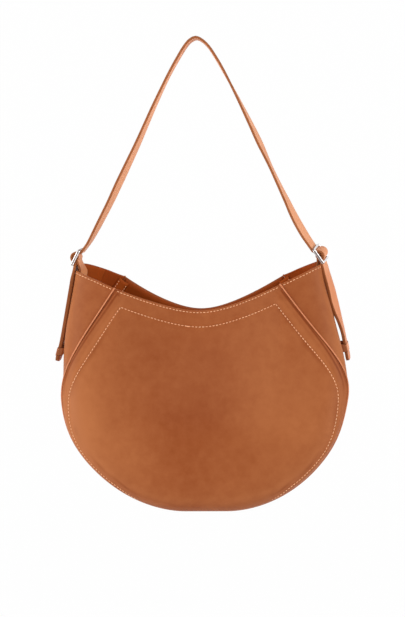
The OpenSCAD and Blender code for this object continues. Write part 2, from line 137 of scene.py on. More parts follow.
WHITE = (1, 1, 1, 1)
AMBIENT = 0.42
world = bpy.data.worlds.new("studio")
bpy.context.scene.world = world
net = tree_of(world)
strength = AMBIENT + (1 - AMBIENT)*seen_directly(net)
net.node("OutputWorld", values={
    "Surface": net.node("Background", values={"Color": WHITE, "Strength": strength})})

SWEEP_BELOW, SWEEP_BACK, SWEEP_RADIUS, SWEEP_HALF, SWEEP_TOP = 1.0, 1.6, 0.6, 4.0, 2.5
SWEEP_STEPS = 12
profile = [(-SWEEP_HALF, -SWEEP_BELOW)] + [
    (SWEEP_BACK - SWEEP_RADIUS*(1 - math.sin(turn)), SWEEP_RADIUS*(1 - math.cos(turn)) - SWEEP_BELOW)
    for turn in np.linspace(0, math.pi/2, SWEEP_STEPS)] + [(SWEEP_BACK, SWEEP_TOP)]
sweep = bpy.data.objects.new("sweep", bpy.data.meshes.new("sweep"))
sweep.data.from_pydata([(x, y, z) for y, z in profile for x in (-SWEEP_HALF, SWEEP_HALF)], [],
                       [(2*i, 2*i + 1, 2*i + 3, 2*i + 2) for i in range(len(profile) - 1)])
sweep.data.polygons.foreach_set("use_smooth", [True]*len(sweep.data.polygons))
bpy.context.scene.collection.objects.link(sweep)
paper = bpy.data.materials.new("paper")
net = tree_of(paper)
PAPER_COLOUR, SHADOW_KEPT = (0.9, 0.9, 0.9, 1), 0.02
net.node("OutputMaterial", values={"Surface": net.node("MixShader", values={
    0: seen_directly(net)*(1 - SHADOW_KEPT),
    1: net.node("BsdfDiffuse", values={"Color": PAPER_COLOUR}),
    2: net.node("Emission", values={"Color": WHITE, "Strength": 1.0})})})
sweep.data.materials.append(paper)

# The place of each softbox, its width and height, and its watts
SOFTBOXES = {"left_softbox": ((-1.5, -0.75, -0.25), (0.7, 1.5), 17),
             "right_softbox": ((1.5, -0.7, -0.1), (0.7, 1.5), 15),
             "front_softbox": ((-0.2, -1.9, 0.75), (1.6, 1.0), 11)}
for name, (spot, size, watts) in SOFTBOXES.items():
    lamp = bpy.data.objects.new(name, bpy.data.lights.new(name, "AREA"))
    lamp.data.shape = "RECTANGLE"
    lamp.data.size, lamp.data.size_y = size
    lamp.data.energy = watts
    lamp.location = spot
    lamp.rotation_euler = (AIM - Vector(spot)).to_track_quat("-Z", "Y").to_euler()
    bpy.context.scene.collection.objects.link(lamp)


# ---- Front and back panels
# Each is one piece of smooth tan calf, cut with the dipped rim and blocked to a pillow that rolls back to its
# seam. A facing is stitched behind its border, which the stitched line shows, and the rim is turned and stitched.
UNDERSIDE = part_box("right_gusset")[0].z
BODY_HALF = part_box("right_gusset")[1].x
END_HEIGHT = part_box("right_gusset")[1].z - UNDERSIDE
WIDEST_HEIGHT, FLAT_HALF = 0.138, 0.025
SEAM_HALF_DEPTH, SWELL, LEAN_HEIGHT = 0.027, 0.026, 0.080
RIM_LOW, RIM_ROUND, RIM_POWER = 0.236, 0.026, 1.3
SEAM_TOP_HALF, SEAM_TOP = 0.098, 0.262
MOUTH_DEPTH, RIM_DEPTH, MOUTH_POWER = 0.060, 0.016, 1.2
END_HALF, FOLD_POWER = 0.149, 1.35
LOWER_POWER, PILLOW_POWER, ROLL_POWER = 1.9, 10, 7
# The seam's upper part is a curve pulled upwards at the widest line and outwards at the rim: shares of its size
PULL_UP, PULL_OUT, PULL_OUT_HIGH = 0.27, 0.42, 0.54
LEATHER = 0.0025
BORDER_SIDE, BORDER_LOW, BORDER_UNDER, BORDER_TOP, HEM = 0.0175, 0.0064, 0.0026, 0.0195, 0.0027
FRAME_LEAST = 0.0055
SEAM_SAMPLES, FLAT_SAMPLES, SEARCH_STEP = 1201, 36, 3


def ease(share):
    share = np.clip(share, 0, 1)
    return share*share*(3 - 2*share)


def ramp(value, start, reach):
    """0 up to start, 1 from there on by reach, smooth between."""
    return ease((value - start)/reach)


def mix(first, second, share):
    return first + (second - first)*share


def hump(distance, width):
    return np.exp(-(distance/width)**2)


def valley(x, power):
    """0 in the middle of the rim, 1 at the tops of the seams."""
    return (np.hypot(x, RIM_ROUND)**power - RIM_ROUND**power)/(
        np.hypot(SEAM_TOP_HALF, RIM_ROUND)**power - RIM_ROUND**power)


def rim_height(x):
    return RIM_LOW + (SEAM_TOP - RIM_LOW)*valley(x, RIM_POWER)


def fold_half(h):
    """How far out the gusset's folded middle stands, at a height above the underside."""
    rise = np.clip((h - WIDEST_HEIGHT)/(END_HEIGHT - WIDEST_HEIGHT), 0, 1)
    return BODY_HALF - (BODY_HALF - END_HALF)*rise**FOLD_POWER


def seam_curve(share):
    """The right seam seen from the front: share runs from 0 at the rim, past 1 at the widest line, to 2 below."""
    s = 1 - np.clip(share, 0, 1)
    turn = np.clip(share - 1, 0, 1)*math.pi/2
    run, rise = BODY_HALF - SEAM_TOP_HALF, SEAM_TOP - WIDEST_HEIGHT
    upper = [(1 - s)**3*a + 3*(1 - s)**2*s*b + 3*(1 - s)*s*s*c + s**3*d for a, b, c, d in (
        (BODY_HALF, BODY_HALF, BODY_HALF - PULL_OUT*run, SEAM_TOP_HALF),
        (WIDEST_HEIGHT, WIDEST_HEIGHT + PULL_UP*rise, WIDEST_HEIGHT + PULL_OUT_HIGH*rise, SEAM_TOP))]
    lower = [FLAT_HALF + (BODY_HALF - FLAT_HALF)*np.cos(turn)**(2/LOWER_POWER),
             WIDEST_HEIGHT*(1 - np.sin(turn)**(2/LOWER_POWER))]
    return np.where(share <= 1, upper, lower)


samples = np.linspace(0, 2, SEAM_SAMPLES)
seam_line = seam_curve(samples)
seam_run = np.concatenate([[0], np.cumsum(np.hypot(*np.diff(seam_line)))])
SEAM_LENGTH, WIDEST_RUN = seam_run[-1], seam_run[SEAM_SAMPLES//2]
heading = np.gradient(seam_line, seam_run, axis=1)
heading = heading/np.hypot(*heading)
FULL_LENGTH = SEAM_LENGTH + FLAT_HALF
flat = np.linspace(0, FLAT_HALF, FLAT_SAMPLES + 1)[1:]
samples, seam_run = np.append(samples, 2 + 0*flat), np.append(seam_run, SEAM_LENGTH + flat)
seam_line = np.concatenate([seam_line, [FLAT_HALF - flat, 0*flat]], 1)
heading = np.concatenate([heading, [0*flat - 1, 0*flat]], 1)


def along_seam(run, inset=0.0):
    """x and height on the right seam, or beside it, at a distance from the rim along it."""
    x, h, tx, th = (np.interp(run, seam_run, line) for line in (*seam_line, *heading))
    return x + inset*th, h - inset*tx


def mouth_half(x):
    return mix(RIM_DEPTH, MOUTH_DEPTH, valley(np.minimum(np.abs(x), SEAM_TOP_HALF), MOUTH_POWER))/2


def half_depth(x, h):
    """Half the bag's depth on a panel: a pillow that rolls back to its seam and leans in to the mouth."""
    side = np.maximum(np.abs(x) - FLAT_HALF, 0)/(fold_half(h) - FLAT_HALF)
    low = np.clip((WIDEST_HEIGHT - h)/WIDEST_HEIGHT, 0, 1)
    outward = np.clip((side**LOWER_POWER + low**LOWER_POWER)**(1/LOWER_POWER), 0, 1)
    rolled = mix(1 - outward**PILLOW_POWER, np.sqrt(1 - outward**ROLL_POWER), ROUNDNESS*ramp(low, 0, 1/3))
    return mix(SEAM_HALF_DEPTH + SWELL*rolled, mouth_half(x), ramp(h, LEAN_HEIGHT, rim_height(x) - LEAN_HEIGHT))


# How the hanging bag settles out of its pattern's even shape
ROUNDNESS = 0.8
TURN_LOW, TURN_HIGH = 0.049, 0.031
BELLY_LEFT, SAG = 0.0036, 0.0088
FRONT_LIFT, BACK_LIFT, BACK_LIFT_RIGHT, END_LIFT = 0.0058, 0.0125, -0.0025, 0.0011
LIFT_SIDE, LIFT_DEPTH, LIFT_BEND, END_BEND = 0.150, 0.030, 1.5, 0.4
# Bulges: how far, at what height and over what reach
LEFT_FOLD_OUT, RIGHT_FOLD_OUT = (0.0050, 0.200, 0.045), (0.0012, 0.182, 0.035)
RIGHT_SEAM_OUT, BELLY_OUT = (0.0078, 0.170, 0.045), (0.0020, 0.085, 0.035)
PRESSED_BY_TAIL, TAIL_PLACE, TAIL_REACH = (0.0030, 0.264, 0.030), -0.010, 0.011
# Where the parts of the bag that settle in their own way begin, and over what reach
MOUTH_FROM, FOLD_FROM, SEAM_FROM, BELLY_FROM, TAIL_FROM, END_FROM = (
    (0.130, 0.140), (0.090, 0.060), (0.060, 0.100), (0.0, 0.130), (0.120, 0.020), (SEAM_TOP_HALF, 0.020))


def bulge(at, far, middle, reach):
    return far*hump(at - middle, reach)


def settle(x, y, h):
    """The place in the frame of a point of the even bag."""
    x, y, h = np.broadcast_arrays(*(np.asarray(v, float) for v in (x, y, h)))
    up, out = h/SEAM_TOP, np.abs(x)
    folded = np.clip(1 - (y/SEAM_HALF_DEPTH)**2, 0, 1)*ramp(out, *FOLD_FROM)
    moved = (x + y*(TURN_LOW + TURN_HIGH*up) + BELLY_LEFT*(1 - up)
             + folded*np.where(x < 0, -bulge(h, *LEFT_FOLD_OUT), bulge(h, *RIGHT_FOLD_OUT))
             - ramp(x, *SEAM_FROM)*bulge(h, *RIGHT_SEAM_OUT)*np.clip(y/SEAM_HALF_DEPTH, -1, 1)
             + np.sign(x)*ramp(out, *BELLY_FROM)*bulge(h, *BELLY_OUT)
             - ramp(x, *TAIL_FROM)*bulge(h, *PRESSED_BY_TAIL)*hump(y - TAIL_PLACE, TAIL_REACH))
    lift = np.where(y < 0, FRONT_LIFT, BACK_LIFT + BACK_LIFT_RIGHT*x/LIFT_SIDE)*np.abs(
        y/LIFT_DEPTH)**mix(LIFT_BEND, END_BEND, ramp(out, *END_FROM))
    raised = h + ramp(h, *MOUTH_FROM)*(lift + END_LIFT*x/LIFT_SIDE) - SAG*(1 - h/END_HEIGHT)
    return np.stack([moved, y, UNDERSIDE + raised], -1)


# Where the border narrows, where it rolls under and where the seam's own edge fades, as shares of the way down
# the seam to the widest line: the start and the reach of each
NARROWS, ROLLS_UNDER, EDGE_FADES = (0.40, 1.15), (1.85, 0.30), (0.75, 0.35)


def border_width(run):
    """The stitched border's width seen from the front."""
    share = run/WIDEST_RUN
    low = mix(BORDER_SIDE, BORDER_LOW, ramp(share, *NARROWS))
    return mix(low, BORDER_UNDER, ramp(share, *ROLLS_UNDER))


def frame_width(run):
    return np.maximum(border_width(run), FRAME_LEAST)


def from_seam(x, h):
    """A point's distance to the seam, and how far down the seam that is."""
    x, h = np.abs(np.ravel(x)), np.ravel(h)
    seam_x, seam_h = seam_line[:, None, ::SEARCH_STEP]
    away = np.hypot(x[:, None] - seam_x, h[:, None] - seam_h)
    near = away.argmin(1)
    return away[np.arange(len(x)), near], seam_run[::SEARCH_STEP][near]


# The relief's height, how far from the seam or the rim its middle is, and its reach: the stitched groove, the hem
# under the rim, and the edge beside the seam
GROOVE, HEM_GROOVE, EDGE_GROOVE = (0.00055, 0, 0.0009), (0.0003, HEM, 0.0008), (0.0006, 0.0018, 0.0016)
EDGE_FAINT, FIELD_LOW, FIELD_REACH = 0.1, 0.0005, 0.0025
# The padded border: its height beside the seam and under the rim, its middle as a share of its width, its reaches
PADDED, PADDED_TOP, PADDED_MIDDLE, PADDED_REACH, PADDED_TOP_REACH = 0.0005, 0.0003, 0.6, 0.0045, 0.005
# The leather's slow ripples: waves along x and the height, and their phase
RIPPLE, RIPPLES, RIPPLED_HEIGHT, RIPPLED_FROM = 0.0007, ((21, 9, 0.6), (-13, 24, 1.1)), 0.25, (0, 0.05)
# Where the reliefs give way to each other: at the rim, at the seam, at the stitched corner and in the roll
AT_RIM, AT_RIM_EDGE, AT_SEAM, AT_HEM_END, AT_CORNER, ROLL = (
    (0, 0.020), (0, 0.01), (0, 0.015), (0.002, 0.002), (-0.001, 0.002), (0.010, 0.015))


def relief(x, h):
    """How far the leather stands out of its plain shape."""
    shape = np.shape(x)
    s, run = (v.reshape(shape) for v in from_seam(x, h))
    r = rim_height(x) - h
    wide = border_width(run)
    from_line, from_top = s - wide, r - BORDER_TOP
    seen = ramp(h, *ROLL)
    groove = np.maximum(bulge(from_line, *GROOVE)*ramp(from_top, *AT_CORNER)*seen,
                        bulge(from_top, *GROOVE)*ramp(from_line, *AT_CORNER))
    field = FIELD_LOW*np.minimum(ramp(from_line, 0, FIELD_REACH), ramp(from_top, 0, FIELD_REACH))
    puff = (PADDED*hump(s - PADDED_MIDDLE*wide, PADDED_REACH*wide/BORDER_SIDE)*ramp(r, *AT_RIM)*seen
            + bulge(r, PADDED_TOP, PADDED_MIDDLE*BORDER_TOP, PADDED_TOP_REACH)*ramp(s, *AT_SEAM))
    hem = bulge(r, *HEM_GROOVE)*ramp(s, *AT_HEM_END)
    edge = bulge(s, *EDGE_GROOVE)*mix(1, EDGE_FAINT, ramp(run/WIDEST_RUN, *EDGE_FADES))*ramp(r, *AT_RIM_EDGE)
    waves = RIPPLE*sum(np.sin(a*x + b*h + c) for a, b, c in RIPPLES)*np.sin(
        math.pi*np.clip(h/RIPPLED_HEIGHT, 0, 1))*ramp(s, *RIPPLED_FROM)
    return puff + waves - groove - field - hem - edge


def on_panel(x, h, depth, side):
    """A place on a panel's outer face, or below it by a depth. side is -1 on the front panel, 1 on the back."""
    return settle(x, side*(half_depth(x, h) + relief(x, h) - depth), h)


def build(name, grids, materials, body=None, tone=None):
    """One mesh from grids of points that share their edges. grids are (points, material number)."""
    points, faces, numbers, start = [], [], [], 0
    for grid, number in grids:
        rows, cols = grid.shape[:2]
        i = np.arange(rows*cols).reshape(rows, cols) + start
        quads = np.stack([i[:-1, :-1], i[:-1, 1:], i[1:, 1:], i[1:, :-1]], -1).reshape(-1, 4)
        points.append(grid.reshape(-1, 3))
        faces.append(quads)
        numbers += [number]*len(quads)
        start += rows*cols
    mesh = bpy.data.meshes.new(name)
    mesh.from_pydata(np.concatenate(points).tolist(), [], np.concatenate(faces).tolist())
    mesh.polygons.foreach_set("material_index", numbers)
    work = bmesh.new()
    work.from_mesh(mesh)
    bmesh.ops.remove_doubles(work, verts=work.verts, dist=1e-5)
    bmesh.ops.dissolve_degenerate(work, edges=work.edges, dist=1e-6)
    bmesh.ops.recalc_face_normals(work, faces=work.faces)
    work.to_mesh(mesh)
    work.free()
    mesh.polygons.foreach_set("use_smooth", [True]*len(mesh.polygons))
    if tone is not None:
        co = np.zeros(3*len(mesh.vertices))
        mesh.vertices.foreach_get("co", co)
        for layer, values in tone(*co.reshape(-1, 3).T).items():
            mesh.attributes.new(layer, "FLOAT", "POINT").data.foreach_set("value", values)
    for material in materials:
        mesh.materials.append(material)
    made = bpy.data.objects.new(name, mesh)
    bpy.context.scene.collection.objects.link(made)
    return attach(made, body) if body else made


def colour(red, green, blue):
    """A colour as a screen shows it, from 0 to 255, as Blender's linear one."""
    return tuple(c/12.92 if c <= 0.04045 else ((c + 0.055)/1.055)**2.4
                 for c in (red/255, green/255, blue/255)) + (1,)


def new_material(name):
    """An empty material, and the place on the object that its textures follow."""
    made = bpy.data.materials.new(name)
    return made, tree_of(made).node("TexCoord", out=3)


def noise(place, scale, detail, roughness=0.5, distortion=0.0):
    return place.node("TexNoise", values={"Vector": place, "Scale": scale, "Detail": detail,
                                          "Roughness": roughness, "Distortion": distortion}, out=0)


def surface(place, shade, roughness, height, strength, reach, more):
    """A material's outside: its colour, roughness and fine relief, and more of the shader's sockets."""
    bump = place.node("Bump", values={"Height": height, "Strength": strength, "Distance": reach})
    place.node("OutputMaterial", values={"Surface": place.node("BsdfPrincipled", values={
        "Base Color": shade, "Roughness": roughness, "Normal": bump, **more})})


def leather(name, deep, pale, roughness=0.5, grain=1.0):
    """Smooth dyed calf: cloudy dye, fine creased grain and open pores. A mesh's own layers "pale" and "dark" say
    where it is paler, by wear and by painted light, and where it is darker, by painted shade, and the piping
    towards the bottom."""
    made, place = new_material(name)
    clouds, mottle = noise(place, scale=11, detail=2), noise(place, scale=90, detail=4, roughness=0.6)
    creases = noise(place, scale=520, detail=3, roughness=0.6, distortion=1.2)
    pores = place.node("TexVoronoi", values={"Vector": place, "Scale": 1300}, out=0)
    wear_and_painted_light, painted_shade_and_darkening = (place.node("Attribute", {"attribute_name": layer}, out=2) for layer in ("pale", "dark"))
    # The pale layer adds wear and painted light; the dark layer adds painted shade, and darkening towards the
    # bottom
    share = 0.5 + 0.40*(clouds - 0.5) + 0.35*(mottle - 0.5) + 0.10*(creases - 0.5) + wear_and_painted_light - painted_shade_and_darkening
    # A deeper copy of the colour, for the painted shade
    painted_shade_colour = tuple(0.45*c for c in deep[:3]) + (1,)
    shade = (painted_shade_and_darkening*0.9).ease(0.0, 1.0).blend(share.ease(0.0, 1.0).blend(deep, pale), painted_shade_colour)
    pits = pores.ease(0.0, 0.35)
    surface(place, shade, roughness + 0.16*(mottle - 0.5) + 0.10*(1 - pits),
            creases*(0.35*grain) + pits*(0.25*grain) + mottle*0.4, strength=0.22, reach=0.0004,
            more={"Specular IOR Level": 0.12, "Sheen Weight": 0.02, "Sheen Roughness": 0.4})
    return made


bag_leather = leather("bag_leather", colour(131, 58, 18), colour(174, 104, 60))
flesh_side = leather("flesh_side", colour(138, 54, 8), colour(172, 78, 22), roughness=0.75, grain=2.0)

# Loops of the frame round a panel, from its turned edge to the field: distances from the seam and below the rim,
# and round the turned edge its depths beside the seam and under the rim
TURN = [(0.0004, 0.0009, 0.0030, 0.0025), (0.0004, 0.00025, 0.0022, 0.00225), (0.0004, 0.0, 0.0014, 0.0016),
        (0.0005, 0.0, 0.0008, 0.0009), (0.0009, 0.00025, 0.0003, 0.00025), (0.0018, 0.0009, 0.00008, 0.0)]
FLAT = [(0.0027, 0.0016), (0.0035, 0.0022), (0.0042, 0.0027), (0.0048, 0.0032), (0.0054, 0.0044), (0.0062, 0.0062)]
FRAME_SHARES = [0.16, 0.34, 0.52, 0.70, 0.84, 0.91, 0.955, 1.0, 1.045, 1.09, 1.18]
FLESH_LOOPS = (6, 12, 17, 22)
SIDE_STATIONS, TOP_STATIONS, CROWDED, CORNER_SHARE, FIELD_POWER = 76, 56, 0.9, 1/40, 1.5
HALVINGS = 40
HEM_SIDE, HEM_TOP = FLAT[-1]
stretch = np.linspace(-1, 1, TOP_STATIONS + 1)


def near_seam(inset, run):
    """A loop's distance to the seam, which shrinks half as much as the border does."""
    return inset*mix(1, frame_width(run)/BORDER_SIDE, 0.5)


def loop_places(inset, below):
    """x and height of a loop's right side, from the corner under the rim to the middle of the bottom."""
    low, high = 0.0, 0.5*SEAM_LENGTH
    for _ in range(HALVINGS):
        middle = (low + high)/2
        x, h = along_seam(middle, inset(middle))
        low, high = (middle, high) if h > rim_height(x) - below else (low, middle)
    run = mix(low, SEAM_LENGTH, np.linspace(0, 1, SIDE_STATIONS + 1)**CROWDED)
    return along_seam(run, inset(run))


def frame_rings(loops):
    """x, height and depth of the right, left, top and bottom of each loop round a panel."""
    rings = []
    for inset, below, seam_depth, rim_depth in loops:
        x, h = loop_places(inset, below)
        depth = mix(rim_depth, seam_depth, ramp(np.linspace(0, 1, SIDE_STATIONS + 1), 0, CORNER_SHARE))
        top_x, bottom_x = x[0]*stretch, x[-1]*stretch
        rings.append([(x, h, depth), (-x, h, depth), (top_x, rim_height(top_x) - below, depth[0] + 0*top_x),
                      (bottom_x, h[-1] + 0*bottom_x, depth[-1] + 0*bottom_x)])
    return rings


def frame_grids(rings, side, number=0):
    return [(on_panel(*(np.stack(rows) for rows in zip(*(ring[part] for ring in rings))), side), number)
            for part in range(4)]


def panel_grids(side):
    loops = [(lambda run, s=s: s + 0*run, *rest) for s, *rest in TURN]
    loops += [(lambda run, s=s: near_seam(s, run), r, 0.0, 0.0) for s, r in FLAT]
    loops += [(lambda run, k=k: mix(near_seam(HEM_SIDE, run), frame_width(run), k), mix(HEM_TOP, BORDER_TOP, k),
               0.0, 0.0) for k in FRAME_SHARES]
    rings = frame_rings(loops)
    x, h, _ = rings[-1][0]
    up = np.clip(1 - (h[0] - h)/(SEAM_TOP - WIDEST_HEIGHT), 0, 1)**FIELD_POWER
    field = x[:, None]*stretch, h[:, None] - (rim_height(x[0]) - rim_height(x[0]*stretch))*up[:, None]
    flesh = rings[:1] + [[(x, h, LEATHER + 0*depth) for x, h, depth in rings[i]] for i in FLESH_LOOPS]
    return [*frame_grids(rings, side), (on_panel(*field, 0.0, side), 0),
            *frame_grids(flesh, side, 1), (on_panel(*field, LEATHER, side), 1)]


# Painted light and shade from the side lights: where the panel is paler, or darker where the share is below 0: x,
# height, half width, half height, share
PAINTED_LIGHT_PATCHES = [(-0.156, 0.110, 0.03025, 0.0605, 0.46), (-0.110, 0.080, 0.0495, 0.0605, 0.10),
         (0.105, 0.115, 0.075, 0.1125, 0.16), (0.060, 0.185, 0.050, 0.050, 0.10),
         (0.012, 0.120, 0.070, 0.112, -0.16)]
# Wear on the border, and painted shade in the crease beside the seam, in the border's middle and in its stitched
# groove: share, distance from the seam, reach
WORN_BORDER, PAINTED_SHADE_BY_SEAM, PAINTED_CREASE_SHADE = (0.10, 0.010, 0.005), (0.36, 0.0018, 0.0012), (0.10, 0.0068, 0.0022)
PAINTED_STITCH_SHADE, UPPER_ENDS, STITCHES_FROM = (0.20, 0, 0.0012), (0.8, 0.3), (0.017, 0.003)


def panel_tone(x, y, z):
    h = z - UNDERSIDE
    s, run = from_seam(x - BELLY_LEFT*(1 - h/SEAM_TOP), h)
    r = rim_height(x) - h
    # pale is wear on the border, and painted light and shade from the side lights
    pale = bulge(s, *WORN_BORDER)*ramp(r, *AT_RIM) + sum(
        share*hump(np.hypot((x - place)/wide, (h - height)/tall), 1) for place, height, wide, tall, share in PAINTED_LIGHT_PATCHES)
    # dark is painted shade beside the seam, in the border's crease and in the stitched groove
    upper = 1 - ramp(run/WIDEST_RUN, *UPPER_ENDS)
    stitched = bulge(s - border_width(run), *PAINTED_STITCH_SHADE)*ramp(r, *STITCHES_FROM)*ramp(h, *ROLL)
    return {"pale": pale, "dark": upper*(bulge(s, *PAINTED_SHADE_BY_SEAM) + bulge(s, *PAINTED_CREASE_SHADE)) + stitched}


for name, side in (("front_panel", -1), ("back_panel", 1)):
    panel = build(name + "_leather", panel_grids(side), [bag_leather, flesh_side], "bag", panel_tone)
    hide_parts(name)


# ---- Gussets
# One piece of the same calf on each side. It is sewn between the panels, folds outwards at the mouth, and runs
# round to meet the other under the bag. Its rim is turned over and stitched.
GUSSET_EDGE, EDGE_ROUND, SIDE_ROUND, NOSE_POWER, GUSSETS_APART = 0.0007, 0.0005, 0.030, 4, 0.00015
OUTER_HALF, HEM_ENDS, GUSSET_ROWS, GUSSET_COLUMNS = 0.002, 0.97, 72, 37
# Distances from the rim of the rows across a gusset: close together round the hem, and then even
gusset_runs = np.concatenate([[0, 0.0010, 0.0016, 0.0022, HEM, 0.0032, 0.0042, 0.0060, 0.0085],
                              np.linspace(0.0120, FULL_LENGTH - GUSSETS_APART, GUSSET_ROWS)])


def unit(vectors):
    return vectors/np.linalg.norm(vectors, axis=-1, keepdims=True)


def even_gusset(run, u):
    x, h = along_seam(run)
    share = np.interp(run, seam_run, samples)
    high = h + (END_HEIGHT - SEAM_TOP)*np.maximum(1 - share, 0)**2
    out = np.where(share < 1, fold_half(high) - x, 0)
    nose = 1 - np.abs(u)**NOSE_POWER
    return np.stack(np.broadcast_arrays(x + out*nose, half_depth(x, h)*u, h + (high - h)*nose), -1)


def gusset_reach(run):
    x, h = along_seam(run)
    out = np.where(run < WIDEST_RUN, fold_half(h) - x, 0)
    return np.hypot(half_depth(x, h), NOSE_POWER*out)


def on_gusset(run, q, depth, side):
    """A place on a gusset's outer face or under it. q runs from -1 at its front edge to 1 at its back edge."""
    run, q, depth = np.broadcast_arrays(*(np.asarray(v, float) for v in (run, q, depth)))
    u = q*(1 - GUSSET_EDGE/gusset_reach(run))
    step, turn = 5e-4, 0.01
    down = even_gusset(np.minimum(run + step, FULL_LENGTH), u) - even_gusset(np.maximum(run - step, 0), u)
    round_it = even_gusset(run, u + turn) - even_gusset(run, u - turn)
    stitched = (depth < OUTER_HALF) & (np.abs(q) < HEM_ENDS)
    deep = depth + bulge(run, *HEM_GROOVE)*stitched
    x, y, h = np.moveaxis(even_gusset(run, u) - unit(np.cross(down, round_it))*deep[..., None], -1, 0)
    return settle(side*x, y, h)


def slab(place, p, q, p_round, q_round, near, far, radius):
    """A sheet between two depths with rounded edges. place() takes p, q and a depth."""
    turn = np.radians([0, 22, 45, 68, 90])

    def rounded(line, size):
        fall = size*(1 - np.cos(turn))
        inside = line[(line > line[0] + size) & (line < line[-1] - size)]
        return (np.concatenate([line[0] + fall, inside, (line[-1] - fall)[::-1]]),
                np.concatenate([1 - np.sin(turn), 0*inside, (1 - np.sin(turn))[::-1]]))
    (p, p_fall), (q, q_fall) = rounded(p, p_round), rounded(q, q_round)
    fall = radius*np.maximum(p_fall[:, None], q_fall[None])
    outer, inner = (place(p[:, None], q[None], depth) for depth in (near + fall, far - fall))
    return [(outer, 0), (inner, 1)] + [(np.stack([outer[i], inner[i]]), 0) for i in (0, -1)] + [
        (np.stack([outer[:, i], inner[:, i]]), 0) for i in (0, -1)]


# Painted light on a gusset: it is paler along the crest of its fold and a little on its faces, where the side
# lights fall, and not on its part under the bag
CREST_OUT, CREST_PAINTED_LIGHT, CREST_REACH, FACE_REACH, GUSSET_DEEP = 0.003, 0.34, 0.008, 0.030, 0.12
LEFT_PAINTED_LIGHT, RIGHT_PAINTED_LIGHT, PALE_FROM = 0.10, 0.16, (0.09, 0.06)


def gusset_tone(x, y, z):
    h = z - UNDERSIDE
    inside = fold_half(h) + CREST_OUT - np.abs(x)
    face = np.where(x < 0, LEFT_PAINTED_LIGHT, RIGHT_PAINTED_LIGHT)*hump(inside, FACE_REACH)
    return {"pale": (CREST_PAINTED_LIGHT*hump(inside, CREST_REACH) + face - GUSSET_DEEP)*ramp(h, *PALE_FROM), "dark": 0*x}


for name, side in (("left_gusset", -1), ("right_gusset", 1)):
    grids = slab(lambda p, q, depth: on_gusset(p, q, depth, side), gusset_runs, np.linspace(-1, 1, GUSSET_COLUMNS),
                 EDGE_ROUND, SIDE_ROUND, 0.0, LEATHER, EDGE_ROUND)
    gusset = build(name + "_leather", grids, [bag_leather, flesh_side], "bag", gusset_tone)
    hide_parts(name)


# ---- Piping
# A cord in a folded strip of the same calf, sewn into the whole seam between each panel and the gussets. It shows
# as a thin ridge with a painted highlight: its leather is coloured paler than the bag's.
PIPING_RADIUS, PIPING_SIDES, PIPING_SAMPLES = 0.00082, 12, 220
PIPING_INSET, PIPING_PROUD = -0.0001, 0.0003
PIPING_END, PIPING_SWELL, END_FALL = 0.005, 0.3, 0.96
PIPING_DARKER, DARKER_BELOW, DARKER_REACH = 0.25, 0.115, 0.060


def whole_run(steps, start=0.0, rounded=0.0):
    """Stations down one side seam and up the other: which side, and how far from the rim."""
    ends = rounded*(1 - np.cos(np.linspace(0, math.pi/2, 5)[:-1])) if rounded else np.zeros(0)
    run = np.concatenate([start + ends, np.linspace(start + rounded, FULL_LENGTH, steps)])
    return np.concatenate([-np.ones(len(run) - 1), np.ones(len(run))]), np.concatenate([run[:-1], run[::-1]])


def tube(line, radii, sides):
    """A grid round a line of points, in closed rings."""
    along = unit(np.gradient(line, axis=0))
    out = unit(np.cross(along, [0, 1, 0]))
    over = np.cross(out, along)
    turn = np.linspace(0, 2*math.pi, sides + 1)[:, None]
    return line[:, None] + radii[:, None, None]*(np.cos(turn)*out[:, None] + np.sin(turn)*over[:, None])


def cap(ring, middle, number=0):
    """Closes the end of a tube with a fan about its middle."""
    return np.stack([ring, np.broadcast_to(middle, ring.shape)]), number


# The piping is darker towards the bottom
def piping_tone(x, y, z):
    return {"pale": 0*x, "dark": PIPING_DARKER*ramp(UNDERSIDE + DARKER_BELOW - z, 0, DARKER_REACH)}


# Coloured paler than the bag's leather: a painted highlight on the ridge
piping_highlight_leather = leather("piping_highlight_leather", colour(180, 104, 64), colour(226, 150, 108), roughness=0.45)
for name, side in (("front_piping", -1), ("back_piping", 1)):
    sign, run = whole_run(PIPING_SAMPLES, -PIPING_PROUD, PIPING_RADIUS)
    x, h = along_seam(run, PIPING_INSET)
    line = settle(sign*x, side*(half_depth(x, h) - PIPING_INSET), h + np.maximum(-run, 0))
    fall = np.clip(1 - (run + PIPING_PROUD)/PIPING_RADIUS, 0, END_FALL)
    radii = PIPING_RADIUS*np.sqrt(1 - fall**2)*(1 + PIPING_SWELL*hump(run, PIPING_END))
    grid = tube(line, radii, PIPING_SIDES)
    piping = build(name + "_cord", [(grid, 0), cap(grid[0], line[0]), cap(grid[-1], line[-1])],
                   [piping_highlight_leather], "bag", piping_tone)
    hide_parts(name)


# ---- Facings
# Thin lining leather, glued and stitched inside: a frame behind each panel's border, and a piece that covers the
# inside of each gusset's mouth and the sewn end of its tab.
FACING_NEAR, FACING_FAR, FACING_ROUND = 0.0027, 0.0041, 0.0004
FACING_SIDE, FACING_TOP, FACING_PAST = 0.0028, 0.0008, 0.0015
FACING_FROM, FACING_DOWN, FACING_HALF, FACING_TURN = 0.0006, 0.22*WIDEST_RUN, 0.86, 0.012
# The frame's section: the share of the way from the seam to its inner edge, the distance below the rim, the depth
FACING_SECTION = [(0, FACING_TOP, FACING_NEAR), (0, FACING_TOP, FACING_FAR - FACING_ROUND),
                  (0.03, 0.0012, FACING_FAR), (0.3, 0.0065, FACING_FAR), (0.6, 0.013, FACING_FAR),
                  (0.97, BORDER_TOP + 0.001, FACING_FAR), (1, BORDER_TOP + FACING_PAST, FACING_FAR - FACING_ROUND),
                  (1, BORDER_TOP + FACING_PAST, FACING_NEAR), (0.5, 0.011, FACING_NEAR),
                  (0, FACING_TOP, FACING_NEAR)]


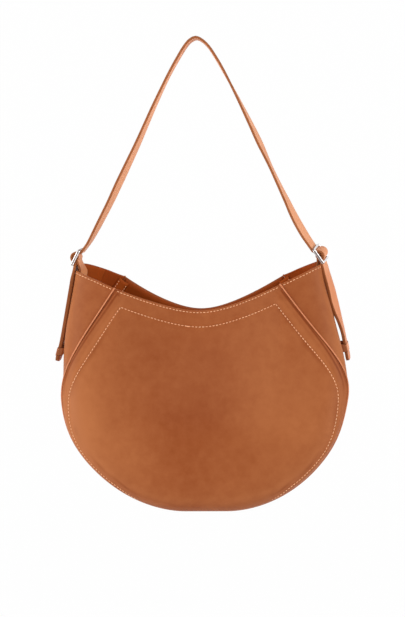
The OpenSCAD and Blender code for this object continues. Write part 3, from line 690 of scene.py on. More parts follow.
def even_tone(pale=0.0):
    return lambda x, y, z: {"pale": 0*x + pale, "dark": 0*x}


lining_leather = leather("lining_leather", colour(138, 55, 8), colour(174, 80, 22), roughness=0.6, grain=1.5)
facing_rings = frame_rings([
    (lambda run, share=share: mix(FACING_SIDE, frame_width(run) + FACING_PAST, share), below, depth, depth)
    for share, below, depth in FACING_SECTION])
for name, side in (("front_border_facing", -1), ("back_border_facing", 1)):
    facing = build(name + "_lining", frame_grids(facing_rings, side), [lining_leather], "bag", even_tone())
    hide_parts(name)

for name, side in (("left_gusset_facing", -1), ("right_gusset_facing", 1)):
    grids = slab(lambda p, q, depth: on_gusset(p, q, depth, side), np.linspace(FACING_FROM, FACING_DOWN, 14),
                 np.linspace(-FACING_HALF, FACING_HALF, 29), FACING_ROUND, FACING_TURN, FACING_NEAR, FACING_FAR,
                 FACING_ROUND)
    facing = build(name + "_lining", [(grid, 0) for grid, _ in grids], [lining_leather], "bag", even_tone())
    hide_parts(name)


# ---- Seam bindings
# A strip of lining leather, folded over the raw edges of each inside seam from one end of the rim to the other,
# and sewn down along both its edges.
BINDING_PANEL, BINDING_GUSSET, BINDING_THICK, BINDING_EDGE = 0.0068, 0.0062, 0.0009, 0.0006
BINDING_OFF_FACING, BINDING_OFF_GUSSET, BINDING_BULGE, BINDING_SAMPLES = 0.0006, 0.0032, 0.0012, 110
BINDING_PALE = 0.25
# Its section: the share of the way from the panel to the gusset, and how far it is raised
BINDING_SECTION = [(0, 0), (0, BINDING_EDGE), *((share, BINDING_THICK) for share in (0.06, 0.35, 0.65, 0.94)),
                   (1, BINDING_EDGE), (1, 0), (0.5, 0), (0, 0)]


def binding_line(sign, run, share, lift, side):
    """From the panel, at share 0, to the gusset, at share 1, raised towards the inside of the bag."""
    x, h = along_seam(run, BINDING_PANEL)
    panel_end = settle(sign*x, side*(half_depth(x, h) - FACING_FAR - BINDING_OFF_FACING), h)
    q = side*(1 - (BINDING_GUSSET - GUSSET_EDGE)/gusset_reach(run))
    gusset_end = on_gusset(run, q, BINDING_OFF_GUSSET, sign)
    corner_x, corner_h = along_seam(run)
    corner = settle(sign*corner_x, side*half_depth(corner_x, corner_h), corner_h)
    inward = unit((panel_end + gusset_end)/2 - corner)
    return mix(panel_end, gusset_end, share) + (lift + BINDING_BULGE*math.sin(math.pi*share))*inward


for name, side in (("front_seam_binding", -1), ("back_seam_binding", 1)):
    sign, run = whole_run(BINDING_SAMPLES, FACING_TOP)
    grid = np.stack([binding_line(sign, run, share, lift, side) for share, lift in BINDING_SECTION], 1)
    binding = build(name + "_strip", [(grid, 0)] + [cap(grid[i], grid[i].mean(0)) for i in (0, -1)],
                    [lining_leather], "bag", even_tone(BINDING_PALE))
    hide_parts(name)


# ---- Base board
# A board of grey pressed fibre lies inside along the bottom, over the place where the gussets meet, and keeps the
# underside in its curve. It is glued to the gussets.
BOARD_NEAR, BOARD_FAR, BOARD_REACH, BOARD_SHARE = 0.0028, 0.0044, 0.085, 0.72
BOARD_ROUND, BOARD_END, BOARD_SIDE = 0.0004, 0.0005, 0.03


def on_board(p, q, depth):
    """p runs across the bag, from the left end of the board to the right, along the gussets' faces."""
    run = FULL_LENGTH - np.maximum(np.abs(p), BOARD_ROUND)
    return on_gusset(run, q*BOARD_SHARE, depth, np.where(p < 0, -1, 1))


def fibre_board():
    made, place = new_material("stiffener")
    fibres, blotches = noise(place, scale=900, detail=5, roughness=0.7), noise(place, scale=60, detail=2)
    shade = (0.6*fibres + 0.4*blotches).ease(0.3, 0.7).blend(colour(70, 66, 60), colour(120, 114, 104))
    surface(place, shade, 0.8 + 0.15*fibres, fibres, strength=0.4, reach=0.0003,
            more={"Specular IOR Level": 0.2})
    return made


grids = slab(on_board, np.linspace(-BOARD_REACH, BOARD_REACH, 61), np.linspace(-1, 1, 15), BOARD_END, BOARD_SIDE,
             BOARD_NEAR, BOARD_FAR, BOARD_ROUND)
board = build("base_board_stiffener", [(grid, 0) for grid, _ in grids], [fibre_board()], "bag")
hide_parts("base_board")


# ---- Magnets and their pockets
# Two nickel-plated discs pull the middle of the rim together. Each lies in a pocket of lining leather, which is
# stitched to a panel's facing.
POCKET_RADIUS, POCKET_WALL, POCKET_SOFT, POCKET_PROUD, POCKET_PALE = 0.0119, 0.0009, 0.0008, 0.0001, 0.1
SEWN_IN, SEWN_DEEP = 0.0022, 0.0001
MAGNET_RADIUS, MAGNET_THICK, MAGNET_BEVEL, MAGNET_ROOM = 0.0090, 0.0020, 0.0003, 0.0003
magnet_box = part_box("front_magnet")
MAGNET_HEIGHT = (magnet_box[0].z + magnet_box[1].z)/2 - UNDERSIDE
MAGNET_FACE = -magnet_box[0].y
MAGNET_BACK = MAGNET_FACE - MAGNET_THICK
RIM_FACE, SPIN = 0.003, 49


def lathe(profile, side):
    """Grid of a round part about the Y axis. A profile row is a radius and a distance from the middle plane."""
    turn = np.linspace(0, 2*math.pi, SPIN)[None]
    r, y = (np.array(column)[:, None] for column in zip(*profile))
    middle = settle(0, side*RIM_FACE, MAGNET_HEIGHT) - [0, side*RIM_FACE, 0]
    return np.stack(np.broadcast_arrays(r*np.cos(turn), side*y, r*np.sin(turn)), -1) + middle


def disc_profile(r, face, back, bevel):
    return [(0, face), (r*0.5, face), (r - bevel, face), (r - bevel/4, face - bevel/4), (r, face - bevel),
            (r, back + bevel), (r - bevel/4, back + bevel/4), (r - bevel, back), (r*0.5, back), (0, back)]


def pocket_profile(r, room, mouth, lid, soft):
    """A cup with a soft edge and a shallow sewn line, which opens towards the other pocket."""
    outside = lid - POCKET_WALL
    return [(0, lid), (room, lid), (room, mouth), (r, mouth), (r, outside + soft),
            (r - soft*0.3, outside + soft*0.3), (r - soft, outside), (r - 2*soft, outside + 0.00012),
            (r - SEWN_IN, outside), (r*0.5, outside - SEWN_DEEP), (0, outside - SEWN_DEEP)]


def plated(name, tint, roughness):
    """Polished plate with a faint haze and fine lines of polishing."""
    made, place = new_material(name)
    haze, lines = noise(place, scale=260, detail=4, roughness=0.65), noise(place, scale=2400, detail=2)
    shade = haze.ease(0.3, 0.75).blend(tint, tuple(0.86*c for c in tint[:3]) + (1,))
    surface(place, shade, roughness + 0.06*haze, 0.6*haze + 0.4*lines, strength=0.05, reach=0.0002,
            more={"Metallic": 1.0})
    return made


magnet_metal = plated("magnet_metal", colour(196, 196, 192), 0.22)
disc = disc_profile(MAGNET_RADIUS, MAGNET_FACE, MAGNET_BACK, MAGNET_BEVEL)
cup = pocket_profile(POCKET_RADIUS, MAGNET_RADIUS + MAGNET_ROOM, MAGNET_FACE + POCKET_PROUD,
                     MAGNET_BACK - MAGNET_ROOM, POCKET_SOFT)
for name, side in (("front", -1), ("back", 1)):
    magnet = build(name + "_magnet_disc", [(lathe(disc, side), 0)], [magnet_metal], "bag")
    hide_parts(name + "_magnet")
    pocket = build(name + "_magnet_pocket_leather", [(lathe(cup, side), 0)], [lining_leather], "bag",
                   even_tone(POCKET_PALE))
    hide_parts(name + "_magnet_pocket")


# ---- Thread
# Waxed peach thread. It shows as the stitched border of each panel, the hem under the rim, the rows along the
# bindings, and the short rows that hold the tabs and keepers.
THREAD_THICK, STITCH, STITCH_GAP = 0.00093, 0.0042, 0.0013
STITCH_LEAN, STITCH_UNEVEN, STITCH_SIDES = 0.00007, 0.07, 6
# Along a stitch: the share of its length, of the thread's radius, and how high the thread's middle stands
STITCH_SHAPE = np.array([(0, 0.35, -0.45), (0.12, 0.85, 0.12), (0.38, 1.0, 0.32), (0.62, 1.0, 0.32),
                         (0.88, 0.85, 0.12), (1.0, 0.35, -0.45)])
random = np.random.default_rng(7)


def thread_material():
    """Twisted strands under wax, a little paler where it is rubbed."""
    made, place = new_material("thread")
    strands = place.node("TexWave", {"bands_direction": "DIAGONAL"},
                         {"Vector": place, "Scale": 900, "Distortion": 2.0}, out=1)
    wear = noise(place, scale=140, detail=2)
    shade = (0.35*strands + 0.65*wear).ease(0.2, 0.8).blend(colour(234, 163, 117), colour(253, 203, 160))
    surface(place, shade, 0.55 + 0.2*strands, strands, strength=0.3, reach=0.0001,
            more={"Specular IOR Level": 0.3})
    return made


thread = thread_material()


def length_along(line):
    return np.concatenate([[0], np.cumsum(np.linalg.norm(np.diff(line, axis=0), axis=1))])


def stitch_grids(line, raised, pitch=STITCH, thick=THREAD_THICK, sunk=0.0):
    """Single stitches along a line of points. raised points the way the leather faces, and sunk is how deep they
    lie in it."""
    run = length_along(line)
    count = max(int(round(run[-1]/pitch)), 1)
    starts = np.arange(count)*run[-1]/count
    share, radius, high = STITCH_SHAPE.T
    where = starts[:, None] + STITCH_GAP/2 + share*(run[-1]/count - STITCH_GAP)
    at, up = (np.stack([np.interp(where, run, column) for column in rows.T], -1) for rows in (line, raised))
    up = unit(up)
    along = unit(np.gradient(at, axis=1))
    aside = np.cross(up, along)
    lean = random.normal(0, STITCH_LEAN, (count, 1, 1))*np.linspace(-1, 1, len(share))[:, None]
    radius = thick/2*radius*random.uniform(1 - STITCH_UNEVEN, 1 + STITCH_UNEVEN, (count, 1))
    lift = thick*high - np.interp(where, run, np.broadcast_to(sunk, run.shape))
    turn = np.linspace(0, 2*math.pi, STITCH_SIDES + 1)[:, None]
    centre = at + lift[..., None]*up + lean*aside
    rings = centre[:, :, None] + radius[..., None, None]*(
        np.cos(turn)*aside[:, :, None] + np.sin(turn)*up[:, :, None])
    return [(ring, 0) for ring in rings]


def facing_way(centre, beside, outside):
    """Normals of a surface from points on a line, points beside it, and points out from it."""
    normal = unit(np.cross(np.gradient(centre, axis=0), beside - centre))
    return normal*np.sign((normal*(outside - centre)).sum(1, keepdims=True))


BESIDE = 0.001


def on_panel_row(x, h, side):
    """Points and normals along a line on a panel."""
    along = np.stack([np.gradient(x), np.gradient(h)])
    along /= np.hypot(*along)
    centre, out = (on_panel(x, h, depth, side) for depth in (0.0, -BESIDE))
    beside = on_panel(x - BESIDE*along[1], h + BESIDE*along[0], 0.0, side)
    return centre, facing_way(centre, beside, out)


def border_line():
    """The stitched line of a panel: down its left side, round and up to the right corner, and the top row."""
    x, h = loop_places(border_width, BORDER_TOP)
    sides = np.concatenate([-x[:1], -x[1:], x[::-1]]), np.concatenate([h, h[::-1]])
    top = np.linspace(-x[0], x[0], 80)
    return sides, (top, rim_height(top) - BORDER_TOP)


# The border's stitches sink out of sight where the panel rolls under, and are doubled in a back tack at the top
SUNK, SUNK_BELOW, SUNK_REACH = 0.0013, 0.022, 0.013
BACK_TACK, BACK_TACK_THICK, BACK_TACK_LOWER = np.linspace(-0.018, -0.012, 12), 0.0013, 0.0001
grids = []
for side in (-1, 1):
    for x, h in border_line():
        grids += stitch_grids(*on_panel_row(x, h, side), sunk=SUNK*ramp(SUNK_BELOW - h, 0, SUNK_REACH))
    row = on_panel_row(BACK_TACK, rim_height(BACK_TACK) - BORDER_TOP - BACK_TACK_LOWER, side)
    grids += stitch_grids(*row, thick=BACK_TACK_THICK)
build("border_thread", grids, [thread], "bag")

HEM_X, HEM_Q = np.linspace(-0.0962, 0.0962, 90), 0.993*np.sin(np.linspace(-math.pi/2, math.pi/2, 121))
grids = []
for side in (-1, 1):
    grids += stitch_grids(*on_panel_row(HEM_X, rim_height(HEM_X) - HEM, side))
    centre, beside, out = (on_gusset(HEM + step, HEM_Q, depth, side)
                           for step, depth in ((0, 0), (BESIDE, 0), (0, -BESIDE)))
    grids += stitch_grids(centre, facing_way(centre, beside, out))
build("hem_thread", grids, [thread], "bag")

# Both rows of each binding: the share of its width where the row lies, and a share beside it
BINDING_ROWS, BINDING_ROW_TOP, BINDING_STITCH = ((0.10, 0.3), (0.90, 0.7)), 0.004, 0.0036
grids = []
for side in (-1, 1):
    sign, run = whole_run(BINDING_SAMPLES, BINDING_ROW_TOP)
    for share, share_beside in BINDING_ROWS:
        centre, beside, out = (binding_line(sign, run, at, BINDING_THICK + lift, side)
                               for at, lift in ((share, 0), (share_beside, 0), (share, BESIDE)))
        grids += stitch_grids(centre, facing_way(centre, beside, out), pitch=BINDING_STITCH)
build("binding_thread", grids, [thread], "bag")


# ---- Buckles
# Cast slides with two openings, polished and plated silver. A tab folds round the middle bar, and the strap is
# woven through.
BAR_PITCH, BAR_RADIUS, RAIL_RADIUS, RAIL_OUT = 0.0095, 0.0013, 0.00141, 0.0137
CORNER, GROOVE_DEEP, SQUARENESS = 0.0016, 0.0005, 0.62
# How deep the upper and lower bars and the rails are, in radii, where across the frame the rails begin, and how
# the middle bar widens towards its ends
BAR_DEPTH, RAIL_DEPTH, RAIL_FROM, BAR_FLARE, FLARE_POWER = 1.04, 1.34, (0.0122, 0.0012), 0.05, 8
# Angles round the frame's section: the first few are its outside, with the groove in their middle
SECTION, OUTSIDE, GROOVED = np.radians(np.arange(-15, 346, 7.5)), 5, slice(1, 4)
# How each one hangs: its middle bar's place and height, and in degrees its lean and its turn to the front
HANGING = {-1: (0.1492, 0.3020, 28, 0), 1: (0.1450, 0.3003, 34, 16)}
MIRROR = {-1: np.array([-1, 1, 1]), 1: np.array([1, 1, 1])}
BUCKLE_MIDDLE, OFF_STRAP, BUCKLE_ROLL = {}, {}, {}
for side, (x, h, lean, roll) in HANGING.items():
    lean = math.radians(lean)
    BUCKLE_MIDDLE[side] = np.array([x, 0, UNDERSIDE + h])*MIRROR[side]
    OFF_STRAP[side] = np.array([math.cos(lean), 0, math.sin(lean)])*MIRROR[side]
    BUCKLE_ROLL[side] = math.radians(roll)


def by_buckle(points, side):
    """Points given down the strap, across it to the back and off it, from the middle bar."""
    off = OFF_STRAP[side]
    down, back = np.array([side*off[2], 0, -side*off[0]]), np.array([0, 1, 0])
    angle = BUCKLE_ROLL[side]
    axes = np.stack([down, math.cos(angle)*back + math.sin(angle)*off, math.cos(angle)*off - math.sin(angle)*back])
    return BUCKLE_MIDDLE[side] + np.asarray(points, float) @ axes


def frame_line():
    """The outline of the frame, closed: straight bars and rails with small round corners."""
    corners = []
    for down, across, start in ((1, 1, 0), (-1, 1, 90), (-1, -1, 180), (1, -1, 270)):
        middle = np.array([down*(BAR_PITCH - CORNER), across*(RAIL_OUT - CORNER)])
        for angle in np.radians(np.linspace(start, start + 90, 9)):
            corners.append(middle + CORNER*np.array([math.cos(angle), math.sin(angle)]))
    line = []
    for start, end in zip(corners, corners[1:] + corners[:1]):
        count = 8 if np.linalg.norm(end - start) > 2*CORNER else 1
        line += [mix(start, end, k/count) for k in range(count)]
    return np.array(line + line[:1])


def squared(wave):
    return np.sign(wave)*np.abs(wave)**SQUARENESS


def casting_grids(side):
    """The frame, a closed ring of rounded square section with a groove round its outside, and the middle bar. The
    rails are deeper than the bars."""
    line = frame_line()
    along = unit(np.gradient(np.concatenate([line[-2:-1], line, line[1:2]]), axis=0)[1:-1])
    out = np.stack([along[:, 1], -along[:, 0]], 1)
    wide, deep = RAIL_RADIUS*squared(np.cos(SECTION)), RAIL_RADIUS*squared(np.sin(SECTION))
    wide[GROOVED] -= GROOVE_DEEP
    rail = mix(BAR_DEPTH, RAIL_DEPTH, ramp(np.abs(line[:, 1]), *RAIL_FROM))
    points = np.zeros((len(line), len(SECTION), 3))
    points[..., :2] = line[:, None] + out[:, None]*wide[:, None]
    points[..., 2] = rail[:, None]*deep
    ring = by_buckle(points, side)
    share, turn = np.linspace(-1, 1, 15)[:, None], np.linspace(0, 2*math.pi, 25)
    radius = BAR_RADIUS*(1 + BAR_FLARE*np.abs(share)**FLARE_POWER)
    bar = np.stack(np.broadcast_arrays(radius*np.cos(turn), share*(RAIL_OUT - RAIL_RADIUS/2),
                                       radius*np.sin(turn)), -1)
    return [(ring[:, :OUTSIDE], 1), (ring[:, OUTSIDE - 1:], 0), (by_buckle(bar, side), 0)]


buckle_metal = plated("buckle_metal", colour(232, 228, 228), 0.12)
# A dark grey metal in the groove round the frame's outside: painted shade in the groove
groove_shade_metal = plated("groove_shade_metal", colour(132, 120, 116), 0.35)
for name, side, body in (("left_buckle", -1, "left_slide"), ("right_buckle", 1, "right_slide")):
    buckle = build(name + "_casting", casting_grids(side), [buckle_metal, groove_shade_metal], body)
    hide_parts(name)


# ---- Strap
# One strip of firm bridle leather with painted edges. Each end goes under a buckle's upper bar, over the middle
# one and under the lower one, and hangs outside the gusset as a tail with a rounded tip.
STRAP_WIDE, STRAP_THICK, EDGE_RADIUS = 0.0240, 0.0028, 0.0010
UNDER_RADIUS, OVER_RADIUS, TIP_ROUND, TIP_CLEAR, STATION = 0.0030, 0.0056, 0.0060, 0.001, 0.004
# The tails are thicker than the rest, and a little darker as they carry less of the strap's painted light: from
# what height down, and over what reach
TAIL_THICK, THICK_TOP, THICK_REACH = {-1: 0.0044, 1: 0.0036}, 0.287, 0.012
TAIL_DEEP, DEEP_TOP, DEEP_REACH = 0.35, 0.29, 0.02
# How far from a buckle's middle the strap is held by its bars, and how soon it is free beyond
HELD = (0.0125, 0.004)
WEAVE_TURN = math.asin((UNDER_RADIUS + OVER_RADIUS)/BAR_PITCH)
# Stations: height above the underside, place from the middle and twist in degrees, far edge outwards
CROWN = [(0.5572, 0.0021, 0)]
LEFT_LEG = [(0.5546, -0.0046, 0), (0.5479, -0.0111, 0), (0.5343, -0.0202, 0), (0.5207, -0.0285, 0.5),
            (0.5070, -0.0361, 0.5), (0.4794, -0.0503, -2), (0.4376, -0.0705, -6), (0.4095, -0.0849, -9),
            (0.3883, -0.0959, -10), (0.3670, -0.1068, -8.5), (0.3527, -0.1147, -7.5), (0.3384, -0.1227, -6),
            (0.3240, -0.1310, -3), (0.3175, -0.1352, -1)]
LEFT_TAIL = [(0.2840, -0.1530, 0), (0.2760, -0.1548, 0), (0.2685, -0.1563, 0), (0.2502, -0.1602, 0),
             (0.2258, -0.1653, 0), (0.2012, -0.1707, 0), (0.1938, -0.1727, 0), (0.1870, -0.1750, 0),
             (0.1750, -0.1781, 0)]
RIGHT_LEG = [(0.5543, 0.0088, 0), (0.5470, 0.0163, -1), (0.5329, 0.0254, -2), (0.5189, 0.0332, -2),
             (0.4906, 0.0476, 2), (0.4552, 0.0646, 9), (0.4339, 0.0743, 12), (0.4196, 0.0807, 9),
             (0.4054, 0.0869, 6), (0.3839, 0.0966, 8), (0.3623, 0.1066, 13), (0.3479, 0.1131, 16.5),
             (0.3334, 0.1206, 18.5), (0.3220, 0.1272, 18), (0.3140, 0.1324, 16.5)]
RIGHT_TAIL = [(0.2840, 0.1502, 16), (0.2780, 0.1513, 17), (0.2679, 0.1541, 18), (0.2558, 0.1574, 19.5),
              (0.2436, 0.1601, 20.5), (0.2314, 0.1635, 17.5), (0.2192, 0.1673, 11), (0.2069, 0.1707, 7.5),
              (0.1946, 0.1731, 7), (0.1823, 0.1755, 8.5), (0.1715, 0.1774, 9)]


def weave(side):
    """Place and twist of the strap's stations through a buckle, from above it to below it."""
    rows = []
    for along, radius, first, last in (
            (-BAR_PITCH, UNDER_RADIUS, -math.pi/2, -math.pi/2 + WEAVE_TURN),
            (0, OVER_RADIUS, math.pi/2 + WEAVE_TURN, math.pi/2 - WEAVE_TURN),
            (BAR_PITCH, UNDER_RADIUS, -math.pi/2 - WEAVE_TURN, -math.pi/2)):
        for turn in np.linspace(first, last, 9):
            place = by_buckle([along + radius*math.cos(turn), 0, radius*math.sin(turn)], side)
            rows.append([*place, math.degrees(BUCKLE_ROLL[side])])
    return rows


def placed(rows):
    return [[x, 0, UNDERSIDE + h, twist] for h, x, twist in rows]


def through(points, spacing):
    """A smooth line through points, with stations at a spacing."""
    points = np.asarray(points, float)
    ends = np.concatenate([[2*points[0] - points[1]], points, [2*points[-1] - points[-2]]])
    line = []
    for p0, p1, p2, p3 in zip(ends, ends[1:], ends[2:], ends[3:]):
        gaps = [max(np.linalg.norm((b - a)[:3]), 1e-9)**0.5 for a, b in ((p0, p1), (p1, p2), (p2, p3))]
        m1 = p2 - p1 + gaps[1]*((p1 - p0)/gaps[0] - (p2 - p0)/(gaps[0] + gaps[1]))
        m2 = p2 - p1 + gaps[1]*((p3 - p2)/gaps[2] - (p3 - p1)/(gaps[1] + gaps[2]))
        count = max(int(math.ceil(np.linalg.norm((p2 - p1)[:3])/spacing)), 1)
        for t in np.arange(count)/count:
            line.append((2*t**3 - 3*t*t + 1)*p1 + (t**3 - 2*t*t + t)*m1 + (3*t*t - 2*t**3)*p2 + (t**3 - t*t)*m2)
    return np.array(line + [points[-1]])


def band(line, across, thick, wide, edge, closed=False):
    """Grids of a flat strip: outer face and inner face (0), and both edges and ends (1)."""
    wide, thick = (np.broadcast_to(size, len(line))[:, None] for size in (wide, thick))
    along = np.gradient(line, axis=0)
    if closed:
        along[0] = along[-1] = line[1] - line[-2]
    off = unit(np.cross(unit(along), across))
    turn = np.radians([0, 30, 60, 90])
    round_edge = np.minimum(edge, wide/2.2)

    def row(side, face, angle):
        reach = wide/2 - round_edge + round_edge*math.cos(angle)
        return line + side*reach*across + face*(thick/2 - edge + edge*math.sin(angle))*off

    faces = [np.stack([row(side, face, turn[-1]) for side in np.linspace(-1, 1, 9)], 1) for face in (1, -1)]
    edges = [np.stack([row(side, 1, angle) for angle in turn[::-1]] + [row(side, -1, angle) for angle in turn], 1)
             for side in (1, -1)]
    ends = [] if closed else [
        cap(np.concatenate([faces[0][i], edges[0][i], faces[1][i][::-1], edges[1][i][::-1]]), line[i], 1)
        for i in (0, -1)]
    return [(face, 0) for face in faces] + [(side, 1) for side in edges] + ends


stations = through(placed(LEFT_TAIL[::-1]) + weave(-1)[::-1] + placed(LEFT_LEG[::-1] + CROWN + RIGHT_LEG)
                   + weave(1) + placed(RIGHT_TAIL), STATION)
run = length_along(stations[:, :3])
tip = TIP_ROUND*(1 - np.cos(np.linspace(0, math.pi/2, 7)))
middle = run[(run > TIP_ROUND + TIP_CLEAR) & (run < run[-1] - TIP_ROUND - TIP_CLEAR)]
places = np.concatenate([tip, middle, run[-1] - tip[::-1]])
stations = np.stack([np.interp(places, run, column) for column in stations.T], 1)
line, twist = stations[:, :3], np.radians(stations[:, 3])
outwards = unit(np.cross(unit(np.gradient(line, axis=0)), [0, 1, 0]))
# In the buckles the strip turns with the bars, and elsewhere about its own line
for side in (-1, 1):
    held = 1 - ramp(np.linalg.norm(line - BUCKLE_MIDDLE[side], axis=1), *HELD)
    outwards = mix(outwards, OFF_STRAP[side], held[:, None])
across = np.cos(twist)[:, None]*[0, 1, 0] + np.sin(twist)[:, None]*unit(outwards)
short = np.clip(TIP_ROUND - np.minimum(places, run[-1] - places), 0, TIP_ROUND)
width = STRAP_WIDE - 2*(TIP_ROUND - np.sqrt(TIP_ROUND**2 - short**2))
hanging = ramp(UNDERSIDE + THICK_TOP - line[:, 2], 0, THICK_REACH)
thick = mix(STRAP_THICK, np.where(line[:, 0] < 0, TAIL_THICK[-1], TAIL_THICK[1]), hanging)


def strap_tone(x, y, z):
    return {"pale": -TAIL_DEEP*ramp(UNDERSIDE + DEEP_TOP - z, 0, DEEP_REACH), "dark": 0*x}


# The strap's leather is coloured paler than the bag's: painted light for the side lights on its faces
strap_leather = leather("strap_leather", colour(212, 131, 86), colour(247, 180, 135), grain=0.5)
edge_paint = leather("edge_paint", colour(134, 74, 38), colour(170, 102, 60), grain=0.3)
strap = build("shoulder_strap_leather", band(line, across, thick, width, EDGE_RADIUS),
              [strap_leather, edge_paint], tone=strap_tone)
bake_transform(strap)
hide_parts("shoulder_strap", "left_strap_end", "right_strap_end")


# ---- Tabs
# A strip of calf goes up inside each gusset, round the buckle's middle bar and down again. Both layers are sewn
# together through the gusset.
TAB_WIDE, TAB_THICK, TAB_GAP, TAB_EDGE = 0.0220, 0.0014, 0.0001, 0.0005
TAB_END, TAB_PROUD, TAB_INSIDE, TAB_STATION = 0.258, 0.0035, 0.0064, 0.0015
EYE_NEAR, EYE_FAR = BAR_RADIUS*1.05 + 0.0008, OVER_RADIUS - STRAP_THICK/2 - 0.0001
EYE_TURN, EYE_REACH, NECK_UP, NECK_IN = (-52, 232), 0.003, 0.45, 0.05
# The tab's even paleness, and the painted shade under the buckle: its share, height and reach
TAB_PALE, TAB_SHADE_UNDER_BUCKLE = 0.1, (0.3, 0.290, 0.006)
# The left tab is twisted where it leaves the mouth: by how much, and over what reach
TAB_TURN, TAB_TURN_REACH, ROLL_REACH = {-1: math.radians(-13), 1: 0}, 0.014, 0.012


def tab_line(side):
    """Middle of the strip: up on the outer layer, round the bar, and down on the inner one."""
    heights = np.linspace(TAB_END, END_HEIGHT + TAB_PROUD, 9)
    layers = [settle(side*(fold_half(heights) - TAB_INSIDE + gap*(TAB_THICK + TAB_GAP)), 0, heights)*[1, 0, 1]
              for gap in (0.5, -0.5)]
    turn = np.radians(np.linspace(*EYE_TURN, 23))
    eye = BUCKLE_MIDDLE[side] + (EYE_NEAR + EYE_FAR)/2*np.stack([side*np.cos(turn), 0*turn, np.sin(turn)], -1)
    outer, inner = (mix(layer[-1], BUCKLE_MIDDLE[side], NECK_UP) for layer in layers)
    return np.concatenate([layers[0], [mix(outer, inner, NECK_IN)], eye, [mix(inner, outer, NECK_IN)],
                           layers[1][::-1]])


def tab_tone(x, y, z):
    """Painted shade under the buckle."""
    return {"pale": 0*x + TAB_PALE, "dark": bulge(z - UNDERSIDE, *TAB_SHADE_UNDER_BUCKLE)}


# The tab's leather is coloured paler than the bag's: painted light on its faces
tab_leather = leather("tab_leather", colour(196, 116, 68), colour(238, 166, 116), roughness=0.45)
tab_lines = {}
for name, side in (("left_tab", -1), ("right_tab", 1)):
    line = tab_lines[side] = through(tab_line(side), TAB_STATION)
    past_mouth = line[:, 2] - UNDERSIDE - END_HEIGHT
    angle = ramp(past_mouth, 0, ROLL_REACH)*BUCKLE_ROLL[side] + TAB_TURN[side]*hump(past_mouth, TAB_TURN_REACH)
    across = np.cos(angle)[:, None]*[0, 1, 0] + np.sin(angle)[:, None]*OFF_STRAP[side]
    at_bar = 1 - ramp(np.linalg.norm(line - BUCKLE_MIDDLE[side], axis=1), EYE_FAR, EYE_REACH)
    thick = mix(TAB_THICK, EYE_FAR - EYE_NEAR, at_bar)
    tab = build(name + "_leather", band(line, across, thick, TAB_WIDE, TAB_EDGE), [tab_leather, edge_paint], "bag",
                tab_tone)
    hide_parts(name)

# Each tab is sewn down with a box of stitches, on the slope that its inner layer lies at
BOX_TOP, BOX_FOOT, BOX_HALF, BOX_SLOPE = 0.281, TAB_END + 0.002, 0.009, 0.25
grids = []
for side, line in tab_lines.items():
    inner = line[len(line)//2:]
    low = inner[(inner[:, 2] < UNDERSIDE + BOX_TOP) & (inner[:, 2] > UNDERSIDE + BOX_FOOT)]
    face = unit(np.array([-side, 0, BOX_SLOPE]))
    low = low + face*(TAB_THICK/2)
    rows = [low + [0, y, 0] for y in (-BOX_HALF, BOX_HALF)] + [
        end + np.linspace(-BOX_HALF, BOX_HALF, 9)[:, None]*[0, 1, 0] for end in (low[0], low[-1])]
    for row in rows:
        grids += stitch_grids(row, np.broadcast_to(face, row.shape))
build("tab_thread", grids, [thread], "bag")


# ---- Keepers
# A flat leather loop with painted edges holds each tail in place. It is sewn to the gusset, and a light stitch
# shows on each of its sides.
KEEPER_HEIGHT, KEEPER_TALL, KEEPER_THICK, KEEPER_BEND, KEEPER_EDGE = 0.1875, 0.0100, 0.0007, 0.0018, 0.0005
KEEPER_OFF_EDGE, KEEPER_OFF_GUSSET, KEEPER_OFF_TAIL = 0.0004, 0.0004, 0.0001
KEEPER_SIDE = STRAP_WIDE/2 + KEEPER_OFF_EDGE + KEEPER_THICK/2
KEEPER_SHADE, KEEPER_DEEP = (0.0118, 0.0008), 0.5
SPOT_OUT, SPOT_UP, SPOT_HALF, SPOT_STITCH = 0.0008, 0.0028, 0.0010, 0.003


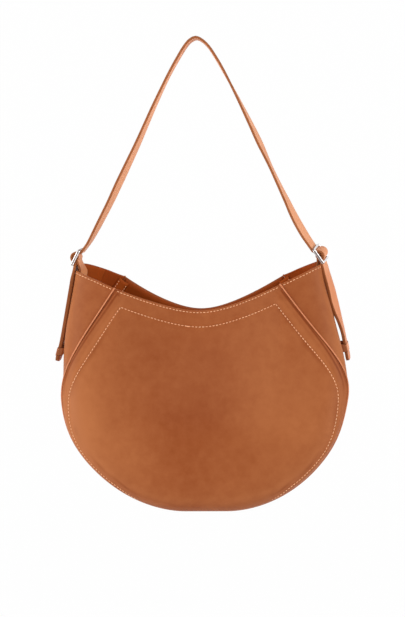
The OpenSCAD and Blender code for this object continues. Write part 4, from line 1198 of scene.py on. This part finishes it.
def keeper_loop(side):
    """The loop's line round the tail, which turns with it, and how far the tail slopes where it passes."""
    heights, places, twists = zip(*(LEFT_TAIL if side < 0 else RIGHT_TAIL)[::-1])
    low, tail_x, high = np.interp(KEEPER_HEIGHT + np.array([-0.5, 0, 0.5])*KEEPER_TALL, heights, places)
    turned = side*math.tan(math.radians(np.interp(KEEPER_HEIGHT, heights, twists)))
    inner = settle(side*fold_half(KEEPER_HEIGHT), 0, KEEPER_HEIGHT)[0] + side*(KEEPER_OFF_GUSSET + KEEPER_THICK/2)
    outer = tail_x + side*(TAIL_THICK[side]/2 + KEEPER_OFF_TAIL + KEEPER_THICK/2)
    line = []
    for x, edge, start in ((outer - side*KEEPER_BEND, 1, 0), (inner + side*KEEPER_BEND, 1, 90),
                           (inner + side*KEEPER_BEND, -1, 180), (outer - side*KEEPER_BEND, -1, 270)):
        for angle in np.radians(np.linspace(start, start + 90, 6)):
            y = edge*(KEEPER_SIDE - KEEPER_BEND) + KEEPER_BEND*math.sin(angle)
            out = x + side*KEEPER_BEND*math.cos(angle)
            line.append([out + turned*y*(out - inner)/(outer - inner), y, UNDERSIDE + KEEPER_HEIGHT])
    return np.array(line + line[:1]), (high - low)/KEEPER_TALL


def keeper_tone(x, y, z):
    """Painted shade where the loop turns back to the gusset."""
    turning = ramp(np.abs(y), *KEEPER_SHADE)
    return {"pale": -KEEPER_DEEP*turning, "dark": turning}


# Coloured paler than the bag's leather: painted light on the loop's faces
keeper_leather = leather("keeper_leather", colour(204, 120, 74), colour(240, 168, 122), grain=0.5)
grids = []
for name, side in (("left_keeper", -1), ("right_keeper", 1)):
    line, slope = keeper_loop(side)
    up = unit(np.array([slope, 0, 1]))
    loop = band(line, np.broadcast_to(up, line.shape), KEEPER_THICK, KEEPER_TALL, KEEPER_EDGE, closed=True)
    keeper = build(name + "_loop", loop, [keeper_leather, edge_paint], "bag", keeper_tone)
    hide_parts(name)
    for edge in (-1, 1):
        spot = [line[:, 0].mean() + side*SPOT_OUT, edge*(KEEPER_SIDE + KEEPER_THICK/2),
                UNDERSIDE + KEEPER_HEIGHT + SPOT_UP]
        row = spot + np.linspace(-SPOT_HALF, SPOT_HALF, 5)[:, None]*up
        grids += stitch_grids(row, np.broadcast_to([0, edge, 0], row.shape), pitch=SPOT_STITCH)
build("keeper_thread", grids, [thread], "bag")
